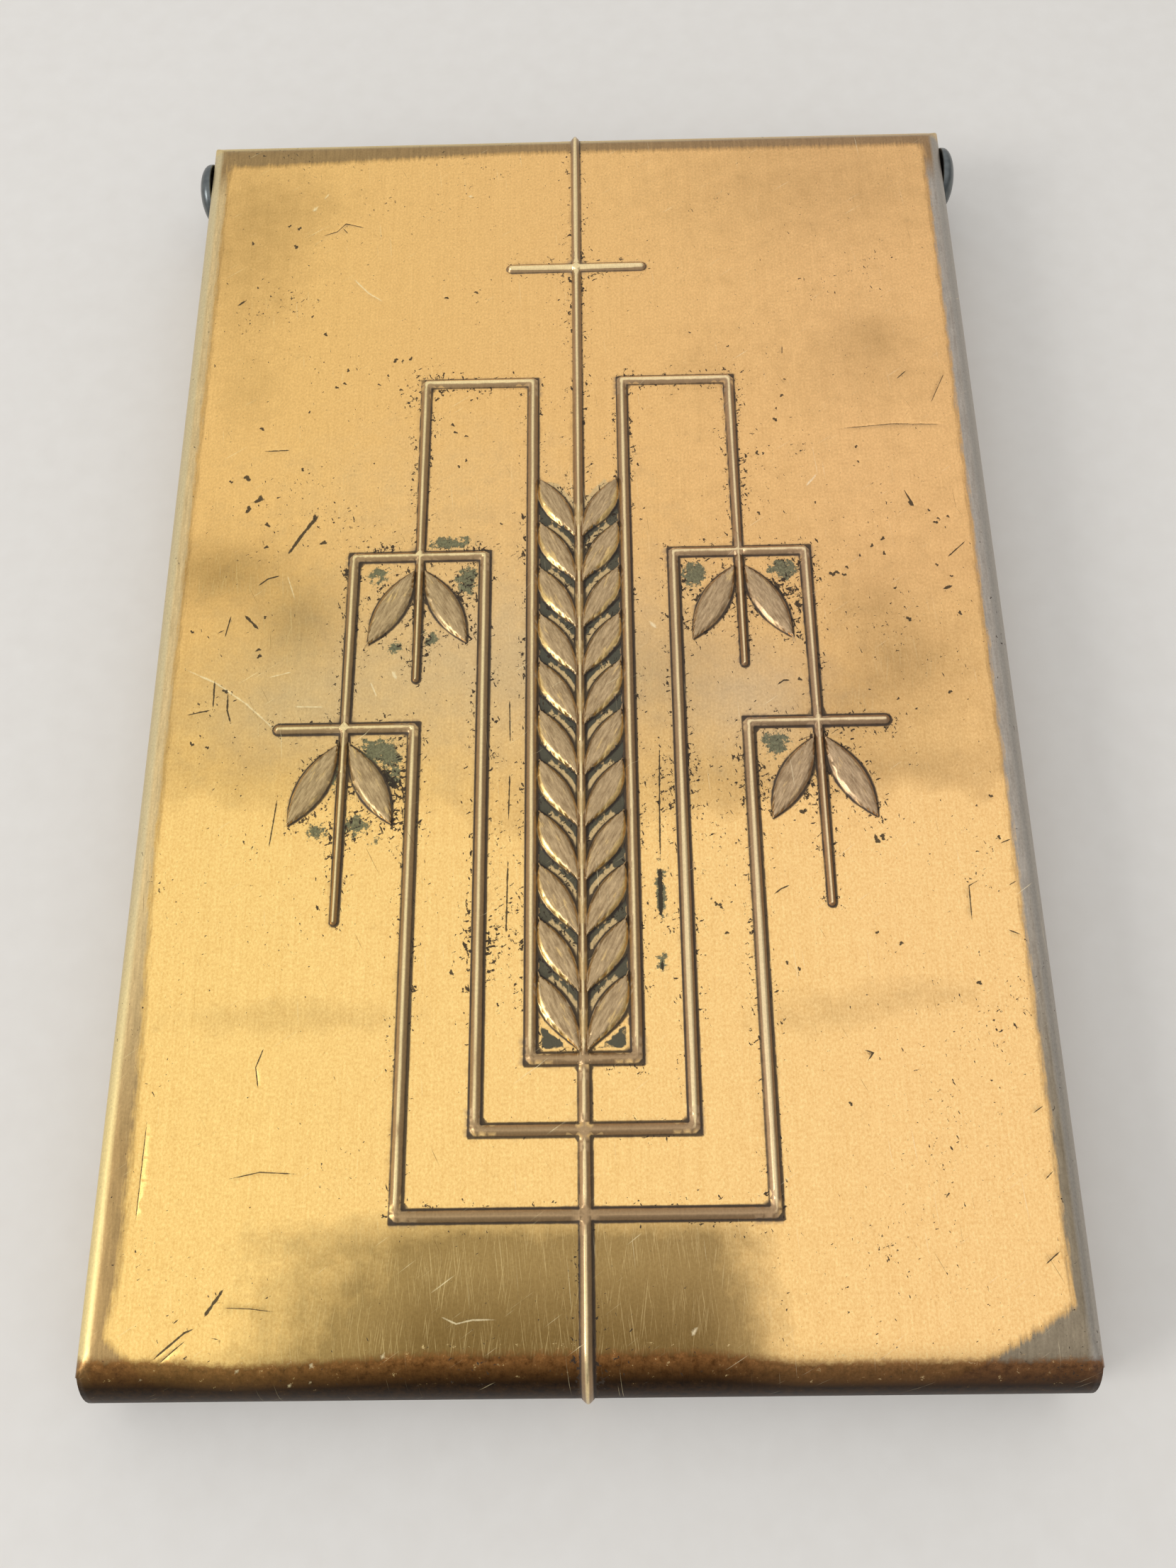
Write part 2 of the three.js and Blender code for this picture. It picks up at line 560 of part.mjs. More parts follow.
function bindingScrew(side) {
  const tip = TRAY_FLOOR + TRAY_SHEET + SCREW_CLEARANCE;
  const head = BAR_TOP + SCREW_HEAD_HEIGHT;
  const [x, y] = [screwX(side), BAR_MIDDLE];
  const slot = block(x - SCREW_HEAD_RADIUS - OVERCUT, x + SCREW_HEAD_RADIUS + OVERCUT,
    y - SCREW_SLOT_WIDTH / 2, y + SCREW_SLOT_WIDTH / 2, head - SCREW_SLOT_DEPTH, head + OVERCUT);
  return uprightBar(SCREW_HEAD_RADIUS, x, y, BAR_TOP, head)
    .add(uprightBar(SCREW_SHANK_RADIUS, x, y, tip, BAR_TOP + SCREW_HEAD_HEIGHT / 2))
    .subtract(slot);
}

// Assembly

const memoCase = new THREE.Group();
memoCase.add(
  piece('cover', cover(), coverBrass),
  piece('base_tray', baseTray(), trayBrass),
  piece('base_felt', baseFelt(), baizeFelt),
  piece('binding_bar', bindingBar(), trayBrass),
);
for (const [hand, side] of SIDES) {
  memoCase.add(
    piece(`${hand}_hinge_rivet`, hingeRivet(side), rivetSteel),
    piece(`${hand}_hinge_washer`, hingeWasher(side), trayBrass),
    piece(`${hand}_rivet_burr`, rivetBurr(side), rivetSteel),
    piece(`${hand}_binding_post`, bindingPost(side), trayBrass),
    piece(`${hand}_binding_screw`, bindingScrew(side), trayBrass),
  );
}
for (let number = 0; number < LEAF_COUNT; number += 1) {
  memoCase.add(piece(`celluloid_leaf_${number + 1}`, celluloidLeaf(number), ivoryCelluloid));
}

export default memoCase;
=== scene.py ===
"""Looks of a desk memo case: a struck brass cover on two rivets over a tray of celluloid writing leaves.

The sheet cover is drawn as a flat blank and folded into place. Lengths are in mm until a mesh is made.
On the blank, "across" is measured from the middle and "along" from the far face towards the lip.
"""
import json
import math
from collections import namedtuple

import bmesh
import bpy
import numpy as np
from mathutils import Matrix, Vector
from mathutils.geometry import delaunay_2d_cdt


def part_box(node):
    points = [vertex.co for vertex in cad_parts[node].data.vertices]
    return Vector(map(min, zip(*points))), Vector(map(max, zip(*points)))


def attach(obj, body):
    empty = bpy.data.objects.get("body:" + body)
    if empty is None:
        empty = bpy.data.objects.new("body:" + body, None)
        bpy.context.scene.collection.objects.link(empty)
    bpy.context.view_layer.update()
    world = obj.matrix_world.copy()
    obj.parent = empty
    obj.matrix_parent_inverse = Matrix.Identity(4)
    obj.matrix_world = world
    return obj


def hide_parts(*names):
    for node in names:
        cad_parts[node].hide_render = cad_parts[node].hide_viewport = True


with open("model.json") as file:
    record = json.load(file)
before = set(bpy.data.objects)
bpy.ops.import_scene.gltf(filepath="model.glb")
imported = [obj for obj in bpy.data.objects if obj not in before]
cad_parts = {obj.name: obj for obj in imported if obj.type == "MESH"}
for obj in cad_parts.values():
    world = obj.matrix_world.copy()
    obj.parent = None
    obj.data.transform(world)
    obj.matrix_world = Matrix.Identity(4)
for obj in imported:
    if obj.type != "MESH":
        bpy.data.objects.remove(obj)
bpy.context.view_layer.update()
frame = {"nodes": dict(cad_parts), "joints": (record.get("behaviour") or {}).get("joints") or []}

MM = 0.001
SIDES = (-1, 1)

# The struck sheet, as in the part's source
SHEET = 0.8
SIDE_BEND = 2.2
FAR_BEND = 2.2
LIP_ROLL = 5.4
FAR_EDGE_DROP = 3.4
FLANGE_FOOT = 1.0
FLANGE_ROUND = 5.4
LIP_INSET = 0.4
LIP_CORNER = 2.0
CORNER_NOTCH = 2.4
HINGE_HOLE = 1.65
BEAD_RISE = 0.5
LEAF_RISE = 0.6
LEAF_DOME = 0.35  # how far a leaf's top falls from its spine to its edge, as a share of its rise
LEAF_BEVEL = 0.32  # width of the bevel round a leaf, as a share of its half-width
LEAF_ENDS = 0.75  # height of a leaf at its ends, as a share of its rise
BEVEL_BULGE = 0.8  # powers below 1 make a flank bulge
FLANK_BULGE = 0.85
BELLY_LEAN = 1.5  # a power that moves a wheat leaf's belly towards its tip
BELLY_TOP = 0.186  # the highest value of that belly's curve
LEAF_OVER_BEAD = 0.05  # a leaf still shows as leaf this far below a bead, in mm
OFF_RELIEF = 9.0  # places farther than this from the relief all count as this far, in mm
CREST_ROUND = 0.2  # rounding of a bead's crest, as a share of its half-width
REVERSE_SHARE = 0.5  # how much of the relief shows as a hollow on the sheet's inner face
WAVE_RISE = 0.05  # old thin sheet is never quite flat
WAVE_FADE = 8.0
WAVES = ((7.1, 23.0, 0.0, 1.0), (-17.0, 9.3, 1.3, 1.0), (4.7, -12.1, 2.1, 0.5))  # lengths, phase, share
SPRUNG_OUT = 0.6  # the left flange's foot has sprung out this far at its front end
SPRUNG_FROM = 85.0
SPRUNG_CURVE = 1.5

# Places of the sheet, from the frame
cover_low, cover_high = (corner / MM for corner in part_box("cover"))
HALF_WIDTH = cover_high.x
FAR_FACE = cover_high.y - BEAD_RISE
FRONT_FACE = cover_low.y + BEAD_RISE
COVER_TOP = cover_high.z - BEAD_RISE
LIP_FOOT = cover_low.z
PIVOT_Y = frame["joints"][0]["pos_m"][1] / MM
PIVOT_Z = frame["joints"][0]["pos_m"][2] / MM

# The blank's bend lines and ends
QUARTER = math.pi / 2
SIDE_LINE = HALF_WIDTH - SIDE_BEND
FAR_LINE = FAR_BEND
ROLL_LINE = FAR_FACE - FRONT_FACE - LIP_ROLL
SIDE_ARC = QUARTER * SIDE_BEND
FAR_ARC = QUARTER * FAR_BEND
ROLL_ARC = QUARTER * LIP_ROLL
BLANK_SIDE = SIDE_LINE + SIDE_ARC + COVER_TOP - SIDE_BEND - FLANGE_FOOT
BLANK_FAR = FAR_LINE - FAR_ARC - (FAR_EDGE_DROP - FAR_BEND)
BLANK_FRONT = ROLL_LINE + ROLL_ARC + COVER_TOP - LIP_ROLL - LIP_FOOT
FLANGE_END = FAR_FACE - FRONT_FACE - CORNER_NOTCH
HOLE_ACROSS = SIDE_LINE + SIDE_ARC + COVER_TOP - SIDE_BEND - PIVOT_Z
HOLE_ALONG = FAR_FACE - PIVOT_Y

# The relief's lines: half-widths from the middle, rows from the far face
CROSS_HALF = 7.6
EAR_HALF = 5.0
MIDDLE_HALF = 10.1
OUTER_HALF = 17.1
DROP_HALF = 24.2
ARM_HALF = 31.0
CROSS_ROW = 20.8
UPPER_ROW = 36.9
MIDDLE_ROW = 59.2
MIDDLE_DROP = 73.7
LOWER_ROW = 79.1
LOWER_DROP = 99.4
EAR_FOOT = 112.8
MIDDLE_FOOT = 119.2
OUTER_FOOT = 126.6
BEAD_HALF = 0.6
STEM_FAR_HALF = 0.54
STEM_EAR_HALF = 0.5
DROP_END_HALF = 0.4
RIGHT_DROP_SHORT = 1.2  # the drop lines on the right end this much sooner

# Leaves: the wheat ear's pairs climb towards the far end, the sprigs' pairs hang towards the lip
EAR_PAIRS = 11
EAR_PITCH = 5.5
EAR_TIP = (4.2, 49.9)
EAR_ROOT = (0.35, 57.2)
EAR_LEAF_INNER = 1.35  # half-widths on the stem's side and on the frame's side
EAR_LEAF_OUTER = 1.55
SPRIG_TIP = (5.2, 10.4)  # from the crossing of the sprig's bar and drop line
SPRIG_ROOT = (0.55, 1.8)
SPRIG_LEAF_HALF = 1.58

Bead = namedtuple("Bead", "start end half_start half_end square_start square_end")
Leaf = namedtuple("Leaf", "root tip inner_half outer_half")
Scratch = namedtuple("Scratch", "path width")
Pit = namedtuple("Pit", "across along radius")
Stain = namedtuple("Stain", "across along reach_across reach_along strength")


def relief_beads():
    """Every straight bead line of the relief; a square end turns a mitred corner, the other kind is round."""
    beads = [
        Bead((-CROSS_HALF, CROSS_ROW), (CROSS_HALF, CROSS_ROW), BEAD_HALF, BEAD_HALF, False, False),
        Bead((0, BLANK_FAR), (0, EAR_ROOT[1]), STEM_FAR_HALF, STEM_FAR_HALF, True, False),
        Bead((0, EAR_ROOT[1]), (0, EAR_FOOT), STEM_EAR_HALF, STEM_EAR_HALF, True, True),
        Bead((0, EAR_FOOT), (0, BLANK_FRONT), BEAD_HALF, BEAD_HALF, True, True),
    ]
    for half, foot in ((EAR_HALF, EAR_FOOT), (MIDDLE_HALF, MIDDLE_FOOT), (OUTER_HALF, OUTER_FOOT)):
        beads.append(Bead((-half, foot), (half, foot), BEAD_HALF, BEAD_HALF, True, True))
    runs = (
        ((EAR_HALF, UPPER_ROW), (OUTER_HALF, UPPER_ROW), BEAD_HALF, True),
        ((EAR_HALF, UPPER_ROW), (EAR_HALF, EAR_FOOT), BEAD_HALF, True),
        ((OUTER_HALF, UPPER_ROW), (OUTER_HALF, MIDDLE_DROP), DROP_END_HALF, False),
        ((MIDDLE_HALF, MIDDLE_ROW), (DROP_HALF, MIDDLE_ROW), BEAD_HALF, True),
        ((MIDDLE_HALF, MIDDLE_ROW), (MIDDLE_HALF, MIDDLE_FOOT), BEAD_HALF, True),
        ((DROP_HALF, MIDDLE_ROW), (DROP_HALF, LOWER_DROP), DROP_END_HALF, False),
        ((OUTER_HALF, LOWER_ROW), (ARM_HALF, LOWER_ROW), BEAD_HALF, False),
        ((OUTER_HALF, LOWER_ROW), (OUTER_HALF, OUTER_FOOT), BEAD_HALF, True),
    )
    for side in SIDES:
        for start, end, half_end, square_end in runs:
            short = RIGHT_DROP_SHORT if side > 0 and half_end == DROP_END_HALF else 0
            start_there = (side * start[0], start[1])
            end_there = (side * end[0], end[1] - short)
            beads.append(Bead(start_there, end_there, BEAD_HALF, half_end, True, square_end))
    return beads


def relief_leaves():
    """The wheat ear's leaf pairs and the four hanging sprig pairs."""
    leaves = []
    for side in SIDES:
        for pair in range(EAR_PAIRS):
            climb = pair * EAR_PITCH
            root = (side * EAR_ROOT[0], EAR_ROOT[1] + climb)
            tip = (side * EAR_TIP[0], EAR_TIP[1] + climb)
            leaves.append(Leaf(root, tip, EAR_LEAF_INNER, EAR_LEAF_OUTER))
        for middle, row in ((OUTER_HALF, MIDDLE_ROW), (DROP_HALF, LOWER_ROW)):
            for hand in SIDES:
                root = (side * middle + hand * SPRIG_ROOT[0], row + SPRIG_ROOT[1])
                tip = (side * middle + hand * SPRIG_TIP[0], row + SPRIG_TIP[1])
                leaves.append(Leaf(root, tip, SPRIG_LEAF_HALF, SPRIG_LEAF_HALF))
    return leaves


# Scratches and dents seen on the plate, as points on the blank with a width
SCRATCHES = (
    Scratch(((-31.6, 58.8), (-30.0, 56.0), (-28.2, 53.4)), 0.5),
    Scratch(((-35.0, 45.4), (-32.0, 45.3)), 0.22),
    Scratch(((-39.9, 25.4), (-38.6, 24.4)), 0.34),
    Scratch(((-34.5, 62.4), (-33.4, 61.5), (-32.0, 61.1)), 0.24),
    Scratch(((-37.0, 65.8), (-37.3, 67.4), (-37.5, 68.6)), 0.22),
    Scratch(((-38.4, 68.0), (-37.4, 67.4)), 0.18),
    Scratch(((-35.6, 65.8), (-33.9, 67.6)), 0.4),
    Scratch(((-38.1, 73.3), (-38.0, 76.6)), 0.26),
    Scratch(((-36.6, 74.8), (-36.5, 76.8), (-36.0, 78.4)), 0.24),
    Scratch(((-40.8, 77.3), (-38.1, 76.7)), 0.18),
    Scratch(((41.6, 58.4), (39.3, 60.5)), 0.18),
    Scratch(((38.3, 64.3), (39.7, 63.8)), 0.44),
    Scratch(((36.0, 37.5), (37.4, 36.2)), 0.14),
    Scratch(((23.5, 32.3), (23.4, 33.9)), 0.14),
    Scratch(((20.2, 75.1), (21.0, 74.5), (21.8, 74.5)), 0.26),
    Scratch(((18.6, 97.3), (19.4, 96.7), (20.4, 96.3)), 0.2),
    Scratch(((-30.6, 15.3), (-28.6, 14.6), (-27.6, 13.4), (-25.0, 14.2)), 0.16),
    Scratch(((-28.0, 14.0), (-27.2, 15.0)), 0.14),
    Scratch(((35.5, 51.8), (36.5, 54.2)), 0.3),
    Scratch(((28.9, 43.9), (35.0, 43.4), (41.0, 43.6)), 0.1),
    Scratch(((39.6, 40.8), (41.6, 36.6)), 0.1),
    Scratch(((-7.3, 76.0), (-7.2, 81.0)), 0.18),
    Scratch(((-7.2, 84.0), (-7.3, 89.5)), 0.2),
    Scratch(((-7.3, 93.0), (-7.4, 101.0)), 0.24),
    Scratch(((8.0, 81.0), (7.8, 88.0), (7.7, 94.0)), 0.22),
    Scratch(((7.7, 94.0), (7.6, 99.6)), 0.6),
    Scratch(((7.6, 103.4), (7.6, 104.8)), 0.4),
    Scratch(((-30.3, 115.2), (-30.7, 113.2), (-30.0, 111.2)), 0.16),
    Scratch(((-31.1, 92.0), (-30.6, 86.6)), 0.2),
    Scratch(((-32.6, 123.2), (-29.6, 122.6), (-26.0, 122.8)), 0.14),
    Scratch(((-40.5, 127.0), (-40.4, 117.8)), 0.12),
    Scratch(((38.7, 96.1), (37.6, 96.7), (37.5, 100.4)), 0.16),
    Scratch(((26.0, 112.3), (27.0, 112.6), (26.3, 113.4)), 0.16),
    Scratch(((41.0, 92.5), (42.3, 92.0)), 0.16),
    Scratch(((41.3, 96.8), (42.4, 96.2)), 0.14),
    Scratch(((40.6, 101.0), (42.2, 101.7)), 0.16),
    Scratch(((40.8, 118.4), (42.2, 117.5)), 0.14),
    Scratch(((41.2, 124.2), (42.3, 123.2)), 0.18),
    Scratch(((40.3, 131.3), (42.0, 130.0)), 0.16),
    Scratch(((-38.1, 138.4), (-36.4, 137.0), (-35.2, 136.0), (-34.2, 135.6)), 0.26),
    Scratch(((-37.4, 138.6), (-36.0, 137.4), (-35.0, 136.6)), 0.14),
    Scratch(((-33.6, 134.8), (-32.9, 133.7), (-32.0, 132.4)), 0.42),
    Scratch(((-32.2, 134.0), (-29.6, 134.1), (-27.2, 134.4)), 0.1),
    Scratch(((-33.0, 136.4), (-31.9, 136.6)), 0.16),
    Scratch(((-36.3, 135.3), (-35.7, 134.8)), 0.2),
)
# Larger flecks and pits: across, along and radius
PITS = [Pit(*place) for place in (
    (-34.4, 13.6, 0.24), (-33.2, 14.0, 0.26), (-33.4, 16.7, 0.32), (-38.6, 16.1, 0.24), (-37.5, 22.7, 0.16),
    (-29.1, 29.6, 0.26), (-30.8, 27.0, 0.2), (-20.8, 33.4, 0.32), (-20.0, 33.5, 0.2), (-19.1, 33.3, 0.26),
    (-21.6, 35.5, 0.2), (-26.2, 34.7, 0.22), (-26.5, 36.5, 0.2), (-27.4, 37.0, 0.24), (-22.6, 36.7, 0.22),
    (-20.0, 37.5, 0.22), (-15.2, 24.7, 0.26), (-11.7, 24.0, 0.3), (-35.5, 42.4, 0.3), (-30.3, 40.3, 0.16),
    (-30.6, 47.8, 0.24), (-36.7, 48.8, 0.42), (-38.4, 49.3, 0.24), (-35.1, 51.6, 0.5), (-36.2, 52.8, 0.46),
    (-34.0, 54.8, 0.34), (-33.9, 57.6, 0.26), (-27.7, 57.2, 0.36), (-28.8, 54.0, 0.4), (-28.4, 55.2, 0.16),
    (-33.4, 66.1, 0.2), (-33.8, 69.9, 0.28), (-33.7, 70.7, 0.28), (-41.0, 67.7, 0.24), (-36.9, 74.6, 0.3),
    (-39.8, 80.5, 0.26), (-38.2, 80.9, 0.2), (-14.0, 42.4, 0.26), (-13.7, 43.4, 0.24), (-12.5, 43.9, 0.22),
    (-12.4, 47.1, 0.24), (-13.2, 47.9, 0.18), (-12.0, 39.1, 0.18), (-8.4, 55.3, 0.2), (-12.6, 104.5, 0.3),
    (17.3, 32.4, 0.18), (13.0, 30.4, 0.16), (23.0, 39.3, 0.26), (22.3, 41.0, 0.18), (22.1, 42.5, 0.28),
    (23.5, 37.1, 0.14), (19.8, 46.8, 0.26), (20.5, 46.9, 0.18), (30.9, 48.2, 0.2), (30.8, 46.3, 0.18),
    (36.1, 53.6, 0.34), (38.6, 56.1, 0.26), (38.9, 55.6, 0.18), (40.0, 55.4, 0.2), (38.0, 54.6, 0.16),
    (19.6, 54.5, 0.24), (32.7, 58.0, 0.26), (31.5, 58.8, 0.24), (30.1, 60.0, 0.16), (32.7, 59.8, 0.24),
    (28.6, 61.4, 0.22), (27.0, 62.2, 0.36), (27.5, 62.0, 0.3), (28.2, 62.3, 0.22), (38.2, 61.3, 0.22),
    (39.6, 62.7, 0.2), (34.6, 67.7, 0.32), (40.0, 67.1, 0.26), (33.5, 64.0, 0.2), (25.8, 53.3, 0.16),
    (22.7, 74.4, 0.28), (38.0, 76.1, 0.28), (32.6, 76.8, 0.18), (29.1, 91.9, 0.4), (29.7, 91.6, 0.36),
    (40.8, 87.5, 0.24), (41.1, 91.8, 0.22), (28.3, 101.2, 0.2), (37.5, 106.2, 0.28), (13.4, 98.3, 0.3),
    (13.0, 98.1, 0.24), (13.9, 101.0, 0.24), (20.6, 104.6, 0.22), (19.5, 104.0, 0.18), (22.1, 88.8, 0.36),
    (25.5, 86.7, 0.22), (30.5, 102.3, 0.26), (24.5, 117.2, 0.22),
)]
# Fresh scratches and chips that show bare bright metal, on the plate and on the lip
BRIGHT_SCRATCHES = (
    Scratch(((-31.9, 11.6), (-31.0, 10.5)), 0.6),
    Scratch(((-30.6, 9.8), (-29.8, 8.6)), 0.26),
    Scratch(((-13.1, 9.6), (-12.3, 9.6)), 0.6),
    Scratch(((-26.4, 21.5), (-24.4, 23.8), (-22.4, 25.2)), 0.3),
    Scratch(((-41.8, 71.8), (-37.9, 73.7), (-34.6, 76.1), (-32.0, 78.5), (-31.3, 79.6)), 0.3),
    Scratch(((-29.7, 76.5), (-26.3, 76.6)), 0.24),
    Scratch(((-32.7, 73.2), (-30.0, 72.5)), 0.2),
    Scratch(((-21.9, 73.7), (-21.0, 75.7)), 0.26),
    Scratch(((-19.7, 72.5), (-19.0, 73.8)), 0.6),
    Scratch(((-31.4, 61.0), (-30.3, 64.2)), 0.22),
    Scratch(((24.8, 51.4), (26.3, 49.6)), 0.4),
    Scratch(((7.2, 67.2), (8.2, 68.4)), 0.5),
    Scratch(((-13.0, 134.8), (-11.4, 135.5), (-10.0, 135.2), (-7.8, 135.2)), 0.22),
    Scratch(((9.0, 136.8), (9.8, 135.8)), 0.5),
    Scratch(((-39.4, 140.4), (-39.0, 139.8)), 0.5),
    Scratch(((-32.0, 139.2), (-31.5, 138.8)), 0.6),
    Scratch(((-30.8, 139.6), (-30.2, 139.0)), 0.5),
    Scratch(((-29.8, 140.2), (-29.3, 139.8)), 0.5),
    Scratch(((-26.0, 138.9), (-25.5, 138.4)), 0.6),
    Scratch(((-24.2, 139.2), (-23.8, 138.5)), 0.6),
    Scratch(((-24.4, 140.8), (-23.9, 140.2)), 0.5),
    Scratch(((-26.3, 141.2), (-25.8, 140.6)), 0.5),
    Scratch(((-21.5, 139.2), (-21.1, 138.6)), 0.5),
    Scratch(((-18.0, 138.6), (-17.5, 137.6)), 0.6),
)
SCRATCH_DEPTH = 0.06
SCRATCH_TAPER = 6  # a scratch fades out over one part in this many of its length
PIT_STEEPNESS = 1.4

# Green patches where damp stayed, by the sprigs and on the deepest scratch
VERDIGRIS = (
    Stain(-13.9, 57.6, 2.6, 0.8, 1.0),
    Stain(-12.0, 62.2, 1.3, 2.0, 1.1),
    Stain(-21.6, 61.4, 1.6, 1.3, 0.8),
    Stain(-15.6, 68.9, 1.2, 1.0, 0.9),
    Stain(-19.4, 69.9, 1.2, 0.9, 0.9),
    Stain(-20.6, 81.6, 2.4, 1.5, 1.0),
    Stain(-19.0, 84.4, 1.0, 1.8, 0.9),
    Stain(-26.4, 90.2, 1.2, 1.0, 1.0),
    Stain(-22.6, 89.6, 1.4, 1.4, 1.0),
    Stain(-20.2, 91.6, 0.9, 0.6, 0.9),
    Stain(-24.9, 83.6, 0.8, 2.2, 0.8),
    Stain(12.2, 62.0, 1.5, 1.7, 1.1),
    Stain(21.9, 61.4, 1.7, 1.3, 1.1),
    Stain(19.8, 81.4, 1.5, 1.5, 1.1),
    Stain(23.2, 84.0, 0.7, 1.8, 0.8),
    Stain(7.7, 97.0, 0.6, 3.6, 0.9),
    Stain(7.6, 104.0, 0.5, 1.2, 0.9),
)

# Broad dull clouds under the old lacquer
CLOUDS = (
    Stain(-38.5, 60.6, 6.0, 3.4, 0.65),
    Stain(-29.5, 66.5, 4.5, 4.6, 0.6),
    Stain(-30.0, 76.0, 12.0, 5.0, 0.22),
    Stain(-33.0, 83.0, 10.0, 4.0, 0.15),
    Stain(2.0, 73.0, 14.0, 4.5, 0.3),
    Stain(27.0, 78.0, 7.0, 4.5, 0.35),
    Stain(31.0, 66.0, 4.0, 3.5, 0.3),
    Stain(34.0, 72.5, 5.0, 3.5, 0.4),
    Stain(33.0, 84.5, 7.0, 2.0, 0.3),
    Stain(15.0, 85.0, 6.0, 3.0, 0.25),
    Stain(10.0, 77.0, 8.0, 8.0, 0.16),
    Stain(-28.0, 108.5, 13.0, 1.9, 0.36),
    Stain(21.0, 109.2, 7.0, 1.8, 0.32),
    Stain(31.0, 107.2, 8.0, 1.9, 0.34),
    Stain(33.6, 31.6, 4.0, 3.4, 0.3),
    Stain(33.0, 36.0, 12.0, 7.0, 0.2),
    Stain(14.0, 37.0, 4.0, 5.0, 0.2),
    Stain(30.0, 8.0, 22.0, 10.0, 0.34),
    Stain(26.0, 26.0, 26.0, 22.0, 0.12),
    Stain(-39.0, 16.0, 8.0, 16.0, 0.5),
    Stain(-32.0, 11.0, 8.0, 4.0, 0.2),
    Stain(-37.0, 38.0, 4.0, 5.0, 0.25),
)
# A pale film of old polish over the middle of the plate
FILM = (
    Stain(-8.0, 71.0, 22.0, 11.0, 1.0),
    Stain(-30.0, 77.0, 10.0, 6.0, 0.6),
    Stain(18.0, 77.0, 7.0, 6.0, 0.7),
    Stain(-16.0, 50.0, 22.0, 10.0, 0.3),
)
# Areas where flecks of old dirt crowd
FLECKED = (
    Stain(16.0, 64.0, 7.0, 5.0, 0.6),
    Stain(-17.0, 64.0, 7.0, 5.0, 0.5),
    Stain(23.0, 86.0, 6.0, 6.0, 0.55),
    Stain(-25.0, 84.0, 6.0, 5.0, 0.4),
    Stain(-33.0, 53.0, 6.0, 6.0, 0.7),
    Stain(-36.0, 77.0, 4.0, 8.0, 0.6),
    Stain(35.0, 54.0, 5.0, 4.0, 0.5),
    Stain(33.0, 67.0, 7.0, 5.0, 0.5),
    Stain(-7.8, 92.0, 0.8, 14.0, 0.9),
    Stain(7.7, 92.0, 0.8, 12.0, 0.7),
    Stain(13.5, 91.0, 1.2, 8.0, 0.9),
    Stain(-23.0, 90.0, 6.0, 2.0, 1.0),
    Stain(-19.5, 86.0, 1.6, 4.0, 1.0),
    Stain(-12.5, 63.5, 1.6, 4.0, 1.0),
    Stain(-17.5, 70.0, 4.0, 1.6, 0.9),
    Stain(22.0, 64.5, 1.6, 3.0, 0.9),
    Stain(30.0, 91.0, 3.0, 2.0, 0.6),
    Stain(31.0, 118.0, 12.0, 14.0, 0.5),
    Stain(-28.0, 15.0, 6.0, 4.0, 0.4),
    Stain(-28.0, 34.0, 8.0, 4.0, 0.4),
    Stain(-12.0, 23.0, 3.0, 1.5, 0.6),
    Stain(-2.0, 25.0, 2.0, 6.0, 0.4),
    Stain(0.0, 119.0, 22.0, 9.0, -1.1),
)
# The dim band across the plate, a painted dimmer reflection: its wavy near edge, and where it begins
DIM_BAND_EDGE = 88.3
DIM_BAND_FADE = 2.6
DIM_BAND_MIDDLE = 5.0  # how much nearer the dim band's edge lies in the middle
DIM_BAND_MIDDLE_REACH = 13.0
DIM_BAND_WAVES = ((1.9, 0.0, 0.9), (0.8, 2.0, 0.7))  # length, phase, rise
DIM_BAND_START = 40.0
DIM_BAND_START_FADE = 30.0
DIM_BAND_STRENGTH = 0.31

# Bead crests drawn brighter, as wear and as a painted highlight, at the far end and on the right, and less
# bright across the near end
CREST_WEAR_AND_HIGHLIGHT = (
    Stain(0.0, CROSS_ROW, 8.5, 0.7, 1.3),
    Stain(0.0, 12.0, 0.7, 12.0, 0.3),
    Stain(-11.0, UPPER_ROW, 7.0, 0.6, 0.25),
    Stain(11.0, UPPER_ROW, 7.0, 0.6, 0.25),
    Stain(MIDDLE_HALF, 104.0, 0.8, 14.0, 0.35),
    Stain(OUTER_HALF, 109.0, 0.8, 15.0, 0.35),
    Stain(0.0, EAR_FOOT, 8.0, 0.8, -0.35),
    Stain(0.0, MIDDLE_FOOT, 16.0, 0.8, -0.4),
    Stain(0.0, OUTER_FOOT, 26.0, 0.8, -0.4),
)

# The brown patch above the lip, a painted dark reflection: where it begins, and how far it takes to be full
REFLECTION_PATCH_LEFT = (-34.0, 20.0)
REFLECTION_PATCH_RIGHT = (-18.5, 8.0)  # counted to the left
REFLECTION_PATCH_TOP = (125.6, 3.2)
REFLECTION_PATCH_DEEPEST = 1.5  # its strength where it meets the lip
DEEPER_FROM = 131.0
REFLECTION_PATCH_LIP = 0.7  # below the patch, the lip's painted dark reflection begins this much higher up
LEFT_END_LIP = 0.8  # and at the lip's left end this much
LEFT_END = -31.0
LEFT_END_FADE = 6.0

# Worn border of the plate, in mm inside the bend lines, and its wider near corners
BORDER_DEPTH = 0.8
SIDE_BORDER = 0.25
FAR_BORDER = 0.7
FAR_LEFT_BORDER = 1.9
FAR_LEFT_FROM = -8.0
FAR_LEFT_FADE = 30.0
NEAR_RIGHT_ACROSS = 3.6
NEAR_RIGHT_ALONG = 2.0
NEAR_LEFT_ACROSS = 0.8
NEAR_LEFT_ALONG = 0.8
CORNER_SLOPE = 0.8
NEAR_LEFT_STRIP = 0.9  # the border is this much wider along the near part of the left side
STRIP_FROM = 95.0
STRIP_FROM_FADE = 20.0
STRIP_TO = 137.0
STRIP_TO_FADE = 5.0

# Slivers of bare ground between the wheat leaves, and the bare edge of the ground below the last pair
SLIVER_CLEAR = 0.3
SLIVER_HALF = 0.4
SLIVER_SPAN = (0.12, 0.9)  # from and to, as shares of the leaf's length
BARE_EDGE = 0.45
BARE_FADE = 0.2
EAR_GROUND_FADE = 0.4

